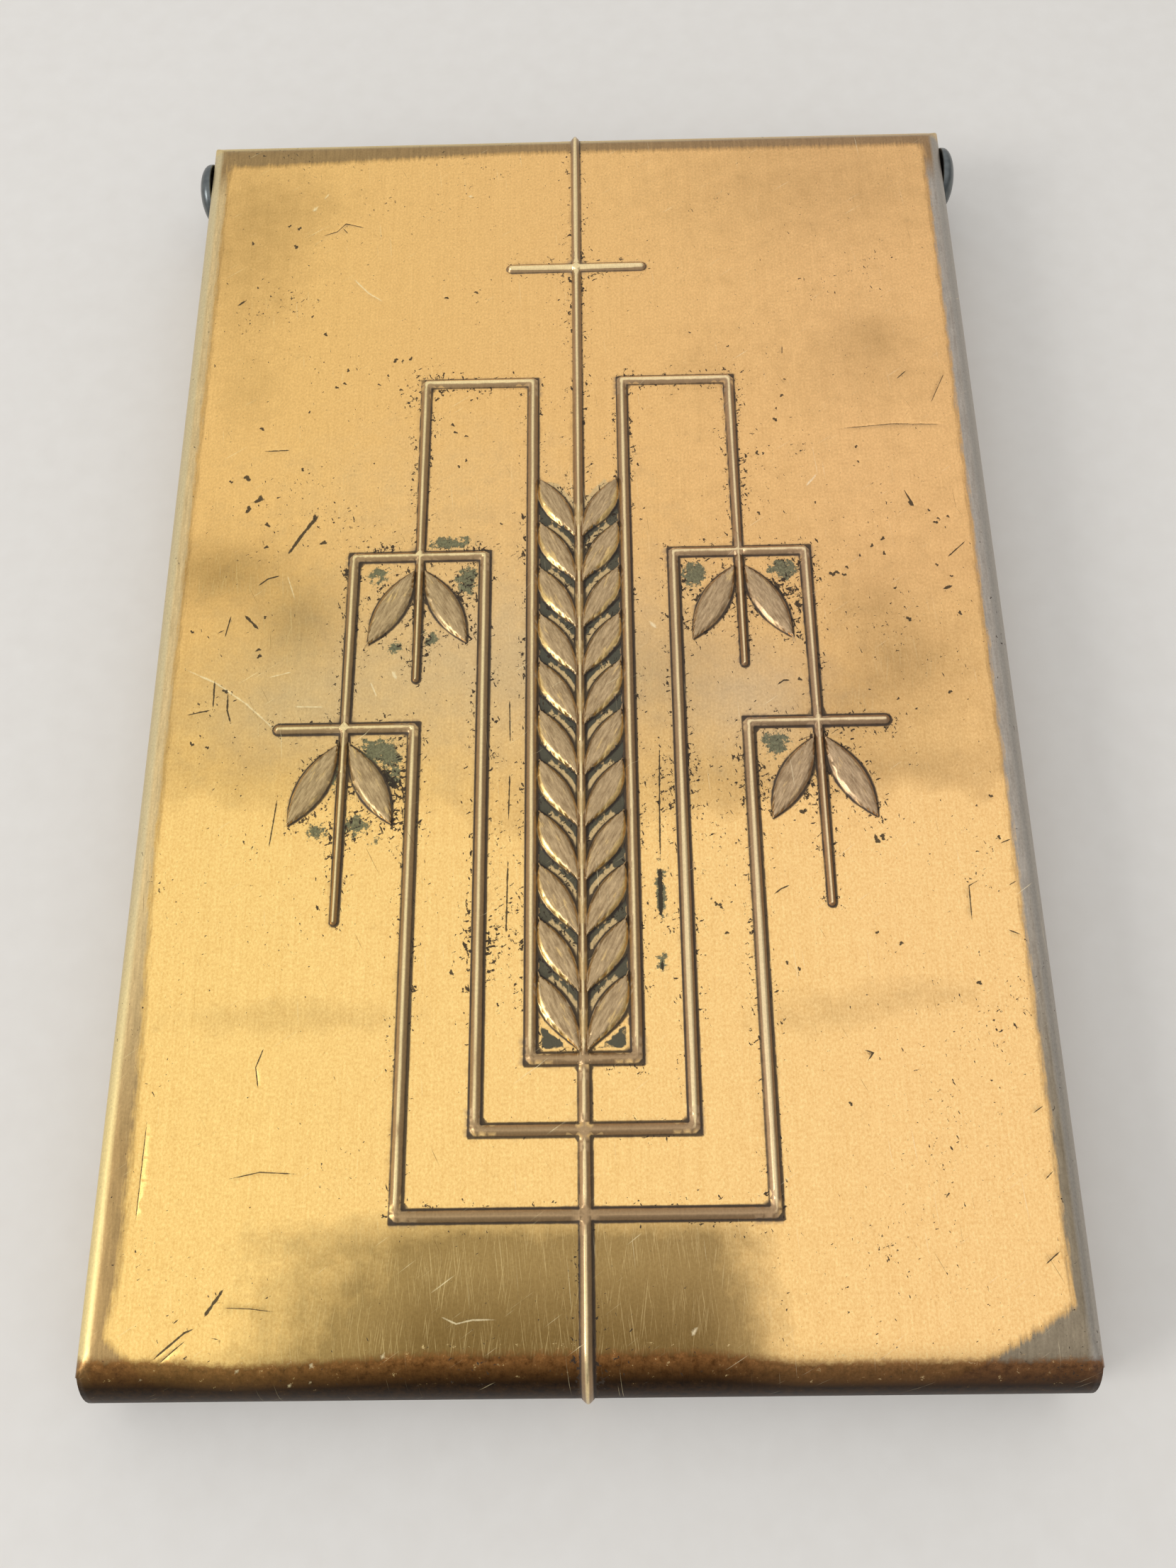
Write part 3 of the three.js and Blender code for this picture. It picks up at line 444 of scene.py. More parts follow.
# Spacing of the blank's points
PLATE_STEP = 1.0
BEND_STEP = 0.7
ROW_STEP = 0.9
CLEAR_OF_RELIEF = 0.3
CLEAR_OF_ROWS = 0.08
# Rows beside a bead's middle line and a leaf's spine: share of the half-width, and mm beyond it
BEAD_ROWS = (
    (0.0, 0.0), (0.16, 0.0), (0.4, 0.0), (0.65, 0.0), (0.85, 0.0),
    (1.0, 0.0), (1.0, 0.14), (1.0, 0.45), (1.0, 1.0),
)
LEAF_ROWS = (
    (0.0, 0.0), (0.4, 0.0), (0.64, 0.0), (0.72, 0.0), (0.86, 0.0),
    (1.0, 0.0), (1.0, 0.14), (1.0, 0.3), (1.0, 0.46),
)
LEAF_STEPS = 14
CAP_STEPS = 8
BEND_STEPS = 8
HOLE_STEPS = 24
SCRATCH_STEP = 0.5
PIT_STEPS = 14
PIT_RINGS = (1, 0.5)
MERGE = 0.004
WELD_MITRES = 0.01
LEAF_GRAIN_STEP = 7.0  # keeps the grain of one leaf from repeating on the next
CORNER_UP_FLANK = 0.5  # the dark patina and painted shade reach up the flanks as if they were this many mm wide
THINNER_DARK_FAR = 0.08  # the dark lines beside the relief are this much thinner at the far end, in mm
THINNER_DARK_FROM = 70.0
THINNER_DARK_FADE = 40.0
SHADE_LEAN = (-0.07, 0.0)  # painted shade lies thicker to the right of the relief, by twice this, as if lit from the left


def ramp(values, start, length):
    """0 before the start and 1 from a length past it; a length below zero runs the other way."""
    return np.clip((values - start) / length, 0, 1)


def bead_half(bead, share):
    """A bead's half-width a share of the way along it."""
    return bead.half_start + (bead.half_end - bead.half_start) * share


def from_line(points, bead):
    """Each point's distance from a bead's middle line, and its share of the way along the line."""
    start = np.array(bead.start, float)
    run = np.array(bead.end, float) - start
    length = np.hypot(*run)
    axis = run / length
    reach = points - start
    along = reach @ axis
    off = np.abs(reach @ np.array((-axis[1], axis[0])))
    beyond = np.maximum(-along, 0) + np.maximum(along - length, 0)
    square = np.where(along < length / 2, bead.square_start, bead.square_end)
    distance = np.where(square, np.maximum(off, beyond), np.hypot(off, beyond))
    return distance, np.clip(along / length, 0, 1)


def gable(fraction):
    """Height of a bead's roof-shaped section, from 1 at its crest to 0 at its foot."""
    fraction = np.minimum(fraction, 1)
    fall = (np.hypot(fraction, CREST_ROUND) - CREST_ROUND) / (math.hypot(1, CREST_ROUND) - CREST_ROUND)
    return np.maximum(1 - fall, 0) ** FLANK_BULGE


def leaf_frame(leaf):
    """A leaf's root, its unit axis and its length."""
    root = np.array(leaf.root, float)
    run = np.array(leaf.tip, float) - root
    length = np.hypot(*run)
    return root, run / length, length


def leaf_half(leaf, share, outer):
    """A leaf's half-width a share of the way from its root: an even arc, or a belly nearer to the tip."""
    share = np.clip(share, 0, 1)
    arc = 4 * share * (1 - share)
    belly = share ** BELLY_LEAN * (1 - share) / BELLY_TOP
    even = leaf.inner_half == leaf.outer_half
    return np.where(outer, leaf.outer_half * (arc if even else belly), leaf.inner_half * arc)


def outer_hand(leaf):
    """The sign of the side of a leaf's axis that faces away from the stem, towards the lip."""
    return 1 if leaf.tip[0] > leaf.root[0] else -1


def in_leaf(points, leaf):
    """Each point's share of a leaf's length, and its distance off the spine, positive towards the lip."""
    root, axis, length = leaf_frame(leaf)
    reach = points - root
    return reach @ axis / length, outer_hand(leaf) * (reach @ np.array((-axis[1], axis[0])))


def relief_at(points, beads, leaves):
    """Height of the relief, whether it is leaf, and the distance from its foot, at points of the blank."""
    height = np.zeros(len(points))
    leafy = np.zeros(len(points))
    foot = np.full(len(points), OFF_RELIEF)
    for bead in beads:
        distance, share = from_line(points, bead)
        half = bead_half(bead, share)
        height = np.maximum(height, BEAD_RISE * gable(distance / half))
        foot = np.minimum(foot, distance - half)
    for leaf in leaves:
        share, off = in_leaf(points, leaf)
        half = leaf_half(leaf, share, off > 0)
        inside = (share > 0) & (share < 1) & (np.abs(off) < half)
        fraction = np.where(inside, np.abs(off) / np.maximum(half, 1e-6), 1)
        crown = LEAF_ENDS + (1 - LEAF_ENDS) * np.clip(4 * share * (1 - share), 0, 1)
        domed = 1 - LEAF_DOME * fraction ** 2
        bevelled = ramp(fraction, 1, -LEAF_BEVEL) ** BEVEL_BULGE
        rise = LEAF_RISE * crown * domed * bevelled
        leafy = np.where(inside & (rise >= height - LEAF_OVER_BEAD), 1, leafy)
        height = np.maximum(height, np.where(inside, rise, 0))
        _, _, length = leaf_frame(leaf)
        past_end = np.maximum(np.maximum(-share, share - 1), 0) * length
        foot = np.minimum(foot, np.hypot(np.maximum(np.abs(off) - half, 0), past_end))
    return height, leafy, np.maximum(foot, 0)


def leaf_grain_at(points, leaves):
    """Mm off a leaf's spine, mm along it and a step per leaf; and how far out on a wheat leaf it is."""
    grain = np.zeros((len(points), 3))
    outwards = np.zeros(len(points))
    for number, leaf in enumerate(leaves):
        share, off = in_leaf(points, leaf)
        _, _, length = leaf_frame(leaf)
        half = leaf_half(leaf, share, off > 0)
        inside = (share > 0) & (share < 1) & (np.abs(off) < half)
        there = np.column_stack((off, share * length, np.full(len(points), LEAF_GRAIN_STEP * number)))
        grain[inside] = there[inside]
        if leaf.inner_half != leaf.outer_half:
            outwards[inside] = np.maximum(off[inside], 0) / half[inside]
    return grain, outwards


def pit_reach(pit, angle):
    """How far a pit's ragged brink lies from its middle, in a direction."""
    lobes = 0.35 * np.cos(2 * angle + pit.along) + 0.25 * np.sin(3 * angle + 5 * pit.across)
    return pit.radius * (1 + lobes + 0.15 * np.sin(5 * angle + pit.along))


def scratch_at(points, scratches, pits):
    """How deep in a scratch or a pit each point of the blank lies: 1 at the bottom, below 0 outside."""
    deep = np.full(len(points), -1.0)
    for scratch in scratches:
        half = scratch.width / 2
        whole = sum(math.dist(start, end) for start, end in zip(scratch.path, scratch.path[1:]))
        passed = 0.0
        for start, end in zip(scratch.path, scratch.path[1:]):
            distance, share = from_line(points, Bead(start, end, half, half, False, False))
            way = (passed + share * math.dist(start, end)) / whole
            fade = np.clip(np.minimum(way, 1 - way) * SCRATCH_TAPER, 0, 1)
            inwards = 1 - distance / half
            deep = np.maximum(deep, np.where(inwards > 0, inwards * fade, inwards))
            passed += math.dist(start, end)
    for pit in pits:
        across, along = (points - (pit.across, pit.along)).T
        reach = pit_reach(pit, np.arctan2(along, across))
        deep = np.maximum(deep, PIT_STEEPNESS * (1 - np.hypot(across, along) / reach))
    return np.minimum(deep, 1)


def sliver_at(points, leaves):
    """1 on the thin worn sliver of ground along each wheat leaf's upper edge, 0 elsewhere."""
    worn = np.zeros(len(points))
    first, last = SLIVER_SPAN
    for leaf in leaves:
        if leaf.inner_half != leaf.outer_half:
            share, off = in_leaf(points, leaf)
            clear = -off - leaf_half(leaf, share, False)
            near = np.clip(1 - np.abs(clear - SLIVER_CLEAR) / SLIVER_HALF, 0, 1)
            worn = np.maximum(worn, near * (share > first) * (share < last))
    return worn


def stain_at(points, stains):
    """Summed strength of soft stains at points of the blank."""
    total = np.zeros(len(points))
    for stain in stains:
        across = (points[:, 0] - stain.across) / stain.reach_across
        along = (points[:, 1] - stain.along) / stain.reach_along
        total += stain.strength * np.exp(-(across ** 2 + along ** 2))
    return total


def flap_of(points):
    """Which flap of the blank each point lies on: side, far or front; none of them is the plate."""
    out = np.abs(points[:, 0]) - SIDE_LINE
    far_out = FAR_LINE - points[:, 1]
    front_out = points[:, 1] - ROLL_LINE
    mitre = math.sqrt(LIP_ROLL / SIDE_BEND)
    side = (out > 0) & (out >= far_out) & (front_out <= mitre * out)
    return side, (far_out > 0) & ~side, (front_out > 0) & ~side


def turned_over(beyond, radius, rise):
    """How far out and down a flap's point comes that lies this far beyond the bend line."""
    angle = np.clip(beyond / radius, 0, QUARTER)
    straight = np.maximum(beyond - QUARTER * radius, 0)
    out = (radius + rise) * np.sin(angle)
    down = radius - (radius + rise) * np.cos(angle) + straight
    return out, down


def folded(points, rise):
    """Places in space of points of the blank that lie this far above the sheet's outer face."""
    across, along = points.T
    side, far, front = flap_of(points)
    hand = np.sign(across)
    x = across.copy()
    y = FAR_FACE - along
    z = COVER_TOP + rise
    beyond = np.abs(across) - SIDE_LINE
    out, down = turned_over(beyond, SIDE_BEND, rise)
    lean = ramp(along, SPRUNG_FROM, FLANGE_END - SPRUNG_FROM) ** 2 * (across < 0)
    sprung = SPRUNG_OUT * lean * ramp(down, 0, COVER_TOP - FLANGE_FOOT) ** SPRUNG_CURVE
    x = np.where(side, hand * (SIDE_LINE + out + sprung), x)
    z = np.where(side, COVER_TOP - down, z)
    # Where two bends meet, the inner face draws in as far as its own bend does
    narrowed = hand * (SIDE_LINE + beyond * (SIDE_BEND + rise) / SIDE_BEND)
    x = np.where(~side & (beyond > 0), narrowed, x)
    for flap, past, radius, line, direction in (
        (far, FAR_LINE - along, FAR_BEND, FAR_LINE, 1),
        (front, along - ROLL_LINE, LIP_ROLL, ROLL_LINE, -1),
    ):
        out, down = turned_over(past, radius, rise)
        line_y = FAR_FACE - line
        y = np.where(flap, line_y + direction * out, y)
        z = np.where(flap, COVER_TOP - down, z)
        y = np.where(side & (past > 0), line_y + direction * past * (radius + rise) / radius, y)
    return np.column_stack((x, y, z))


def arc_points(centre, radius, start, end, steps):
    """Points on an arc, in degrees from the across direction towards the along direction."""
    turn = np.radians(np.linspace(start, end, steps + 1))
    return np.column_stack((centre[0] + radius * np.cos(turn), centre[1] + radius * np.sin(turn)))


def evenly(start, end, step):
    """Points from start to end, about a step apart."""
    start, end = np.array(start, float), np.array(end, float)
    count = max(1, round(np.hypot(*(end - start)) / step))
    return start + np.linspace(0, 1, count + 1)[:, None] * (end - start)


def blank_half_outline():
    """The right half of the blank's outline, from the middle of the far edge to that of the lip's foot."""
    turn = np.linspace(0, 1, BEND_STEPS + 1)
    # Far corner: both flaps end on one mitre line, drawn once for each flap
    past = FAR_ARC * turn
    far_flap = np.column_stack((SIDE_LINE + FAR_BEND * np.sin(past / FAR_BEND), FAR_LINE - past))
    side_flap = np.column_stack((SIDE_LINE + past, FAR_LINE - SIDE_BEND * np.sin(past / SIDE_BEND)))
    # Front corner: the same, until the flange's own front end begins
    notch_out = LIP_ROLL - CORNER_NOTCH
    joined = np.linspace(0, notch_out, BEND_STEPS + 1)
    lip_turn = np.arcsin(joined / LIP_ROLL)
    drop = LIP_ROLL * (1 - np.cos(lip_turn))
    side_turn = np.arccos(1 - drop / SIDE_BEND)
    side_front = np.column_stack((SIDE_LINE + SIDE_BEND * side_turn, ROLL_LINE + joined))
    lip_front = np.column_stack((SIDE_LINE + SIDE_BEND * np.sin(side_turn), ROLL_LINE + LIP_ROLL * lip_turn))
    lip_end = HALF_WIDTH - LIP_INSET
    lip_middle = (lip_end - LIP_CORNER, BLANK_FRONT - LIP_CORNER)
    lip_round = arc_points(lip_middle, LIP_CORNER, 0, 90, BEND_STEPS)
    reach = math.sqrt(FLANGE_ROUND ** 2 - HOLE_ALONG ** 2)
    round_start = -math.degrees(math.atan2(HOLE_ALONG, reach))
    flange_round = arc_points((HOLE_ACROSS, HOLE_ALONG), FLANGE_ROUND, round_start, 0, BEND_STEPS)
    return [
        evenly((0, BLANK_FAR), (HALF_WIDTH, BLANK_FAR), PLATE_STEP),
        evenly((HALF_WIDTH, BLANK_FAR), far_flap[-1], BEND_STEP),
        far_flap[::-1],
        side_flap,
        evenly(side_flap[-1], flange_round[0], BEND_STEP),
        flange_round,
        evenly(flange_round[-1], (BLANK_SIDE, FLANGE_END), PLATE_STEP),
        evenly((BLANK_SIDE, FLANGE_END), side_front[-1], BEND_STEP),
        side_front[::-1],
        lip_front,
        evenly(lip_front[-1], lip_round[0], BEND_STEP),
        lip_round,
        evenly(lip_round[-1], (0, BLANK_FRONT), PLATE_STEP),
    ]


def closed_outline():
    """The whole outline of the blank as one ring of points."""
    right = np.concatenate(blank_half_outline())
    left = right[::-1] * (-1, 1)
    ring = np.concatenate((right, left))
    step = np.hypot(*(np.roll(ring, -1, axis=0) - ring).T)
    return ring[step > MERGE]


def inside_ring(points, ring):
    """Which points lie inside a closed ring, by counting crossings."""
    inside = np.zeros(len(points), bool)
    for (x0, y0), (x1, y1) in zip(ring, np.roll(ring, -1, axis=0)):
        spans = (points[:, 1] < y0) != (points[:, 1] < y1)
        if spans.any():
            crossing = x0 + (points[:, 1] - y0) * (x1 - x0) / (y1 - y0 if y1 != y0 else 1)
            inside ^= spans & (points[:, 0] < crossing)
    return inside


def bead_chains(bead):
    """Rows of points along a bead and round its round end; each comes with whether its edges are kept."""
    start, end = np.array(bead.start, float), np.array(bead.end, float)
    axis = (end - start) / np.hypot(*(end - start))
    normal = np.array((-axis[1], axis[0]))
    heading = math.degrees(math.atan2(axis[1], axis[0]))
    first = start - axis * bead.half_start * bead.square_start
    last = end + axis * bead.half_end * bead.square_end
    line = evenly(first, last, ROW_STEP)
    share = np.clip((line - start) @ axis / np.hypot(*(end - start)), 0, 1)
    for fraction, clear in BEAD_ROWS:
        off = fraction * bead_half(bead, share) + clear
        kept = clear == 0 and fraction in (0, 1)
        for hand in SIDES if off.any() else (1,):
            yield line + hand * off[:, None] * normal, kept
        if fraction:
            caps = ((start, heading + 90, bead.square_start), (end, heading - 90, bead.square_end))
            for centre, turn, square in caps:
                half = bead.half_start if centre is start else bead.half_end
                if not square:
                    yield arc_points(centre, fraction * half + clear, turn, turn + 180, CAP_STEPS), kept


def leaf_chains(leaf):
    """Rings of points round a leaf, and its spine; each comes with whether its edges are kept."""
    root, axis, length = leaf_frame(leaf)
    normal = np.array((-axis[1], axis[0]))
    share = (1 - np.cos(np.linspace(0, math.pi, LEAF_STEPS + 1))) / 2
    spine = root + share[:, None] * length * axis
    for fraction, clear in LEAF_ROWS:
        for hand in SIDES if fraction else (1,):
            off = fraction * leaf_half(leaf, share, hand == outer_hand(leaf)) + clear
            yield spine + hand * off[:, None] * normal, clear == 0 and fraction in (0, 1)


def scratch_chains(scratch):
    """The floor and the two brinks of a scratch, pointed at both ends."""
    legs = zip(scratch.path, scratch.path[1:])
    floor = np.concatenate([evenly(start, end, SCRATCH_STEP) for start, end in legs])
    floor = floor[np.r_[True, np.hypot(*np.diff(floor, axis=0).T) > MERGE]]
    heading = np.gradient(floor, axis=0)
    heading /= np.hypot(*heading.T)[:, None]
    normal = np.column_stack((-heading[:, 1], heading[:, 0]))
    yield floor, True
    for hand in SIDES:
        brink = floor + hand * scratch.width / 2 * normal
        yield np.concatenate((floor[:1], brink[1:-1], floor[-1:])), True


def pit_chains(pit):
    """The brink of a pit and a ring of points in it."""
    angle = np.linspace(0, 2 * math.pi, PIT_STEPS + 1)
    brink = pit_reach(pit, angle)[:, None] * np.column_stack((np.cos(angle), np.sin(angle)))
    for share in PIT_RINGS:
        yield (pit.across, pit.along) + share * brink, True


def plain_points(beads, leaves, ring):
    """Points of the plain sheet, clear of the relief and of the outline."""
    plate = np.array([
        (across + PLATE_STEP / 2 * (row % 2), along)
        for row, along in enumerate(np.arange(FAR_LINE, ROLL_LINE, PLATE_STEP))
        for across in np.arange(-SIDE_LINE + PLATE_STEP, SIDE_LINE - PLATE_STEP / 2, PLATE_STEP)
    ])
    flaps = [plate]
    for low, high in ((BLANK_FAR, FAR_LINE), (ROLL_LINE, BLANK_FRONT)):
        for along in np.linspace(low, high, round((high - low) / BEND_STEP) + 1):
            flaps.append(evenly((-HALF_WIDTH, along), (HALF_WIDTH, along), PLATE_STEP))
    for across in np.linspace(SIDE_LINE, BLANK_SIDE, round((BLANK_SIDE - SIDE_LINE) / BEND_STEP) + 1):
        for side in SIDES:
            flaps.append(evenly((side * across, 0), (side * across, FLANGE_END), PLATE_STEP))
    points = np.concatenate(flaps)
    points = points[inside_ring(points, ring)]
    rim = np.min(np.hypot(*(points[:, None, :] - ring[None, :, :]).transpose(2, 0, 1)), axis=1)
    _, _, foot = relief_at(points, beads, leaves)
    hole = np.hypot(np.abs(points[:, 0]) - HOLE_ACROSS, points[:, 1] - HOLE_ALONG) - HINGE_HOLE
    clear = (rim > CLEAR_OF_RELIEF) & (foot > CLEAR_OF_RELIEF) & (np.abs(hole) > CLEAR_OF_RELIEF)
    return points[clear]


def blank_mesh(beads, leaves):
    """Triangles of the flat blank: its points, and each triangle's three point numbers."""
    ring = closed_outline()
    turn = 360 * (HOLE_STEPS - 1) / HOLE_STEPS
    pivots = [(side * HOLE_ACROSS, HOLE_ALONG) for side in SIDES]
    holes = [arc_points(pivot, HINGE_HOLE, 0, turn, HOLE_STEPS - 1) for pivot in pivots]
    points, edges = [], []
    count = 0
    for loop in [ring] + holes:
        numbers = np.arange(count, count + len(loop))
        points.append(loop)
        edges.append(np.column_stack((numbers, np.roll(numbers, -1))))
        count += len(loop)
    chains = [chain for bead in beads for chain in bead_chains(bead)]
    chains += [chain for leaf in leaves for chain in leaf_chains(leaf)]
    chains += [chain for scratch in SCRATCHES + BRIGHT_SCRATCHES for chain in scratch_chains(scratch)]
    chains += [chain for pit in PITS for chain in pit_chains(pit)]
    for chain, kept in chains:
        if not kept:
            height, _, foot = relief_at(chain, beads, leaves)
            chain = chain[(foot > CLEAR_OF_ROWS) | (height > 0)]
        within = chain[inside_ring(chain, ring)]
        points.append(within)
        if kept:
            numbers = np.arange(count, count + len(within))
            edges.append(np.column_stack((numbers[:-1], numbers[1:])))
        count += len(within)
    points.append(plain_points(beads, leaves, ring))
    flat = [Vector(point) for point in np.concatenate(points)]
    pairs = [tuple(int(number) for number in pair) for pair in np.concatenate(edges)]
    made, _, triangles, *_ = delaunay_2d_cdt(flat, pairs, [], 0, MERGE, False)
    made = np.array(made)
    triangles = np.array(triangles)
    middles = made[triangles].mean(axis=1)
    kept = inside_ring(middles, ring)
    for loop in holes:
        kept &= ~inside_ring(middles, loop)
    used, numbers = np.unique(triangles[kept], return_inverse=True)
    return made[used], numbers.reshape(-1, 3)


def rim_edges(triangles):
    """Edges that only one triangle has, in that triangle's direction."""
    edges = np.concatenate([triangles[:, (a, b)] for a, b in ((0, 1), (1, 2), (2, 0))])
    known = {}
    for a, b in edges:
        known[(a, b)] = (b, a)
    return [edge for edge, back in known.items() if back not in known]


def sheet_waves(points):
    """Slow waves of old thin sheet, fading out at the bends."""
    across, along = points.T
    inner = ramp(np.abs(across), SIDE_LINE, -WAVE_FADE)
    inner *= ramp(along, FAR_LINE, WAVE_FADE) * ramp(along, ROLL_LINE, -WAVE_FADE)
    waves = np.zeros(len(points))
    for length_across, length_along, phase, share in WAVES:
        waves += share * np.sin(across / length_across + along / length_along + phase)
    return WAVE_RISE * inner * waves / sum(share for *_, share in WAVES)


def border_at(points):
    """Distance inside the worn border's inner edge: below zero on the border."""
    across, along = points.T
    far_left = ramp(across, FAR_LEFT_FROM, -FAR_LEFT_FADE) * (FAR_LEFT_BORDER - FAR_BORDER)
    near_right = (SIDE_LINE - across) / NEAR_RIGHT_ACROSS + (ROLL_LINE - along) / NEAR_RIGHT_ALONG - 1
    near_left = (SIDE_LINE + across) / NEAR_LEFT_ACROSS + (ROLL_LINE - along) / NEAR_LEFT_ALONG - 1
    strip = ramp(along, STRIP_FROM, STRIP_FROM_FADE) * ramp(along, STRIP_TO, -STRIP_TO_FADE)
    strip *= NEAR_LEFT_STRIP * (across < 0)
    on_plate = np.minimum.reduce((
        SIDE_LINE - np.abs(across) - SIDE_BORDER - strip,
        along - FAR_LINE - FAR_BORDER - far_left,
        near_right * NEAR_RIGHT_ALONG * CORNER_SLOPE,
        near_left * NEAR_LEFT_ALONG * CORNER_SLOPE,
    ))
    past_bend = np.maximum(np.maximum(np.abs(across) - SIDE_LINE, FAR_LINE - along), 0)
    return np.maximum(on_plate, -BORDER_DEPTH) - past_bend


def clouds_and_dim_band_at(points):
    """Broad tarnish clouds, and a dim band of painted dimmer reflection whose wavy edge crosses the plate."""
    across, along = points.T
    edge = DIM_BAND_EDGE + DIM_BAND_MIDDLE * np.exp(-(across / DIM_BAND_MIDDLE_REACH) ** 2)
    for length, phase, rise in DIM_BAND_WAVES:
        edge += rise * np.sin(across / length + phase)
    band = ramp(along, edge, -DIM_BAND_FADE) * ramp(along, DIM_BAND_START, DIM_BAND_START_FADE)
    return stain_at(points, CLOUDS) + DIM_BAND_STRENGTH * band


def dark_reflection_patch_at(points):
    """1 and more on the painted dark reflection patch above the lip, fading out over its sides and its top.
    """
    across, along = points.T
    patch = np.ones(len(points))
    for place, (edge, fade) in ((across, REFLECTION_PATCH_LEFT), (-across, REFLECTION_PATCH_RIGHT), (along, REFLECTION_PATCH_TOP)):
        patch *= ramp(place, edge, fade)
    deeper = ramp(along, DEEPER_FROM, ROLL_LINE - DEEPER_FROM)
    return patch * (1 + (REFLECTION_PATCH_DEEPEST - 1) * deeper)


def lip_at(points):
    """Mm past the line where the lip begins to roll; its painted dark reflection begins sooner below the
    patch and at the left.
    """
    across, along = points.T
    left_end = ramp(across, LEFT_END, -LEFT_END_FADE)
    return along - ROLL_LINE + REFLECTION_PATCH_LIP * dark_reflection_patch_at(points) + LEFT_END_LIP * left_end


def ear_ground_at(points, foot):
    """1 on the dark ground between the wheat leaves, 0 elsewhere; below the last pair its edge is bare."""
    across, along = np.abs(points[:, 0]), points[:, 1]
    slope = (EAR_ROOT[1] - EAR_TIP[1]) / (EAR_TIP[0] - EAR_ROOT[0])
    below = along - EAR_TIP[1] - (EAR_TIP[0] - across) * slope
    last = below > (EAR_PAIRS - 1) * EAR_PITCH
    bare = np.where(last, ramp(foot, BARE_EDGE + BARE_FADE / 2, -BARE_FADE), 0)
    return ramp(below, 0, EAR_GROUND_FADE) * (across < EAR_HALF) * (along < EAR_FOOT) * (1 - bare)


def mesh_object(name, vertices, faces, body, nodes):
    """A smooth mesh piece from places in mm, riding on a body in the stead of CAD nodes."""
    mesh = bpy.data.meshes.new(name)
    mesh.from_pydata((np.asarray(vertices) * MM).tolist(), [], faces)
    mesh.update()
    mesh.shade_smooth()
    made = bpy.data.objects.new(name, mesh)
    bpy.context.scene.collection.objects.link(made)
    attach(made, body)
    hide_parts(*nodes)
    return made


def struck_cover():
    """The cover as one folded sheet with both faces and its cut rim."""
    beads, leaves = relief_beads(), relief_leaves()
    points, triangles = blank_mesh(beads, leaves)
    height, leafy, foot = relief_at(points, beads, leaves)
    _, _, shade_leaned_foot = relief_at(points + SHADE_LEAN, beads, leaves)
    thinner_dark = THINNER_DARK_FAR * ramp(points[:, 1], THINNER_DARK_FROM, -THINNER_DARK_FADE)
    leaf_grain, leaf_rim_wear_and_highlight = leaf_grain_at(points, leaves)
    scratch = np.where(height > 0, -1, scratch_at(points, SCRATCHES, PITS))
    bright = np.where(height > 0, -1, scratch_at(points, BRIGHT_SCRATCHES, ()))
    waves = sheet_waves(points)
    cuts = SCRATCH_DEPTH * np.maximum(np.maximum(scratch, bright), 0)
    outer = folded(points, height + waves - cuts)
    inner = folded(points, height * REVERSE_SHARE + waves - SHEET)
    count = len(points)
    # Folding the blank with its along axis towards the lip turns the triangles over
    faces = [tuple(reversed(face)) for face in triangles.tolist()]
    faces += [tuple(count + number for number in face) for face in triangles.tolist()]
    faces += [(a, b, count + b, count + a) for a, b in rim_edges(triangles)]
    places = np.concatenate((outer, inner))
    made = mesh_object("struck_cover", places, faces, "cover", ["cover"])
    mesh = made.data
    inside = np.zeros(len(faces), np.int32)
    inside[len(triangles):2 * len(triangles)] = 1
    mesh.polygons.foreach_set("material_index", inside)
    vectors = {"blank": np.column_stack((points, np.zeros(count))), "leaf_grain": leaf_grain}
    for name, values in vectors.items():
        place = mesh.attributes.new(name, "FLOAT_VECTOR", "POINT")
        place.data.foreach_set("vector", np.concatenate((values, values)).ravel())
    facts = {
        "relief": (height > 0).astype(float),
        # a bead's height, raised where its crest is worn and painted as a highlight
        "crest": np.where(leafy > 0, 0, height / BEAD_RISE * (1 + stain_at(points, CREST_WEAR_AND_HIGHLIGHT))),
        "leaf": leafy,
        "leaf_rim_wear_and_highlight": leaf_rim_wear_and_highlight * leafy,
        "foot": foot,
        # dark lines at the relief's foot: patina in the creases and painted shade
        "corner": np.where(height > 0, CORNER_UP_FLANK * height / BEAD_RISE, shade_leaned_foot) + thinner_dark,
        "sliver": sliver_at(points, leaves),
        "border": border_at(points),
        "ear_ground": ear_ground_at(points, foot) * (height == 0),
        "verdigris": stain_at(points, VERDIGRIS) * (height == 0),
        "dull": clouds_and_dim_band_at(points),
        "film": stain_at(points, FILM),
        "dark_reflection_patch": dark_reflection_patch_at(points),
        "lip": lip_at(points),
        "flecked": stain_at(points, FLECKED),
        "scratch": scratch,
        "bright_scratch": bright,
    }
    for name, values in facts.items():
        fact = mesh.attributes.new(name, "FLOAT", "POINT")
        fact.data.foreach_set("value", np.concatenate((values, values)))
    weld_mitres(mesh)
    return made


def weld_mitres(mesh):
    """Joins the flaps where their mitres meet."""
    work = bmesh.new()
    work.from_mesh(mesh)
    bmesh.ops.remove_doubles(work, verts=work.verts, dist=WELD_MITRES * MM)
    work.to_mesh(mesh)
    work.free()
    mesh.update()


def linear(code):
    """An sRGB hex colour as Blender's linear RGBA."""
    channels = [int(code[start:start + 2], 16) / 255 for start in (1, 3, 5)]
    return [c / 12.92 if c <= 0.04045 else ((c + 0.055) / 1.055) ** 2.4 for c in channels] + [1.0]


def connect(tree, node, inputs):
    """Sets a node's sockets, by place or by name, to values, hex colours or outputs of other nodes."""
    for socket, value in inputs.items() if isinstance(inputs, dict) else enumerate(inputs):
        if isinstance(value, bpy.types.NodeSocket):
            tree.links.new(value, node.inputs[socket])
        else:
            node.inputs[socket].default_value = linear(value) if isinstance(value, str) else value


